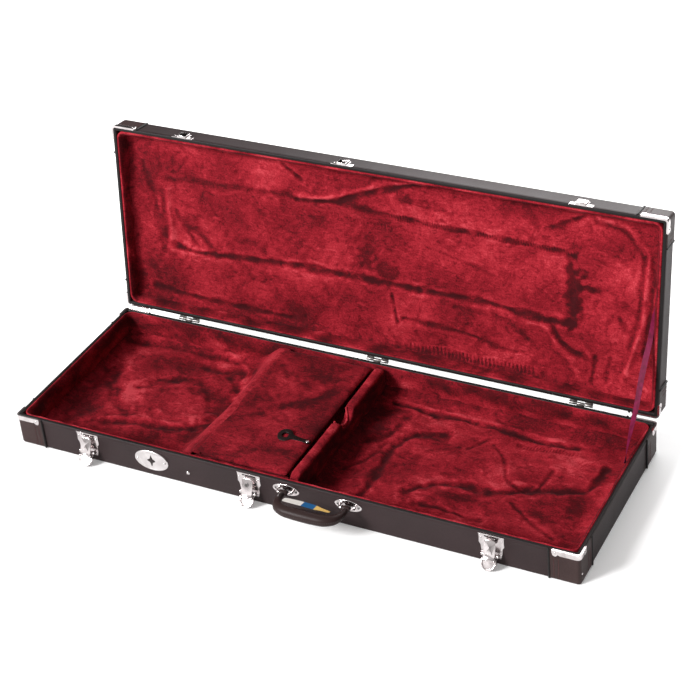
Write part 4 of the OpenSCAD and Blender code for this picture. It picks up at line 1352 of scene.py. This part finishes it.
def make_brackets():
    """Oval handle plates with a raised lip, and the arched bails that the handle hangs on.

    The plate's levels give (share of its size, height), and the bail's table (x, y) along it.
    """
    plate_x, plate_z, foot_x = 24.5, 10.5, 13.5
    levels = [(1.0, 0.0), (1.0, 0.9), (0.985, 1.35), (0.95, 1.55), (0.91, 1.45), (0.86, 1.2), (0.6, 1.5),
              (0.2, 1.65)]
    face, bar, cz = -HALF_W, HANDLE_AXIS[1], HANDLE_AXIS[2]
    half = [(-foot_x, face + 1), (-foot_x, face - 3.5), (-12.6, bar + 1.6), (-10, bar)]
    table = half + [(0, bar)] + [(-x, y) for x, y in half[::-1]]
    for side, node in ((-1, "handle_bracket_left"), (1, "handle_bracket_right")):
        cx = HANDLE_AXIS[0] + side * HANDLE_GAP
        turn = turns(64)
        rings = []
        for s, d in levels:
            x, z = cx + plate_x * s * np.cos(turn), cz + plate_z * s * np.sin(turn)
            rings.append(np.stack([x, np.full(64, face - d), z], -1))
        bail = smooth_line([(cx + x, y, cz) for x, y in table], 5)
        collars = [
            tube([(cx + s * foot_x, face - d, cz) for d in (0.8, 2.0, 2.6)], [3.6, 3.4, 2.3], 18)
            for s in (-1, 1)
        ]
        parts = [swept(rings), tube(bail, 2.1, 14), *collars]
        piece = build(node + "_nickel", *merged(parts), NICKEL, "base", "nickel", sharp=50)
        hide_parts(node)


make_brackets()


# ---------------------------------------------------------------- badge

def make_badge():
    """A domed oval plate with a raised rim and a plain enamelled lozenge."""
    lo, hi = corner("badge_plate", 0), corner("badge_plate", 1)
    cx, cz = (lo[0] + hi[0]) / 2, (lo[2] + hi[2]) / 2
    half_x, half_z = (hi[0] - lo[0]) / 2, (hi[2] - lo[2]) / 2
    turn = turns(96)
    plate_levels = [(0, 0.0), (0, 1.1), (0.5, 1.7), (1.2, 2.0), (2.0, 1.9), (2.7, 1.3), (3.4, 1.1), (8, 1.5),
                    (14, 1.75), (19, 1.85)]
    rings = []
    for inset, d in plate_levels:
        x, z = cx + (half_x - inset) * np.cos(turn), cz + (half_z - inset) * np.sin(turn)
        rings.append(np.stack([x, np.full(96, -HALF_W - d), z], -1))
    piece = build("badge_oval", *swept(rings), BADGE, "base", "badge_metal", sharp=50)
    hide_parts("badge_plate")
    enamel = vinyl_material("badge_enamel", (0.020, 0.014, 0.014), (0.035, 0.026, 0.026), 0.3, 2.0)
    star = [(0, 9), (2.2, 3.4), (6.5, 0), (2.2, -3.4), (0, -9), (-2.2, -3.4), (-6.5, 0), (-2.2, 3.4), (0, 9)]
    outline = smooth_line(star, 6)[:-1]
    marks = []
    for size, d in ((1.25, 1.4), (1.25, 2.05), (1.13, 2.2), (0.5, 2.25)):
        x, z = cx + outline[:, 0] * size, cz + outline[:, 1] * size
        marks.append(np.stack([x, np.full(len(outline), -HALF_W - d), z], -1))
    build("badge_lozenge", *swept(marks), enamel, "base", "badge_metal", sharp=50)


make_badge()


# ---------------------------------------------------------------- latches, hinges and small fittings

# (body, material, slot, width of the rounded edges, nodes)
HARDWARE = [
    ("base", NICKEL, "nickel", 0.3, ["latch_plates", "lock_plate"]),
    ("base", NICKEL, "nickel", 0.25, ["latch_pivot_pins"]),
    ("base", NICKEL, "nickel", 0.1, ["latch_rivets", "front_nails", "base_clip_rivets", "stay_stud_base"]),
    ("hook_2", STEEL, "nickel", 0.12, ["lock_cylinder"]),
    ("base", STEEL, "hinge_steel", 0.25, ["hinge_base_leaves"]),
    ("base", STEEL, "hinge_steel", 0.3, ["hinge_pins"]),
    ("base", STEEL, "hinge_steel", 0.1, ["base_screws"]),
    ("lid", NICKEL, "nickel", 0.5, ["latch_strikes"]),
    ("lid", NICKEL, "nickel", 0.1, ["strike_rivets", "lid_clip_rivets", "stay_stud_lid"]),
    ("lid", STEEL, "hinge_steel", 0.25, ["hinge_lid_leaves"]),
    ("lid", STEEL, "hinge_steel", 0.1, ["lid_screws"]),
    ("box_lid", NICKEL, "nickel", 0.1, ["pull_tab_rivet"]),
]
for i in (1, 2, 3):
    HARDWARE.append((f"hook_{i}", NICKEL, "nickel", 0.35, [f"latch_hook_{i}"]))
    HARDWARE.append((f"lever_{i}", NICKEL, "nickel", 0.3, [f"latch_lever_{i}"]))

for body, material, slot_name, width, nodes in HARDWARE:
    for node in nodes:
        from_node(node, material, body, width)
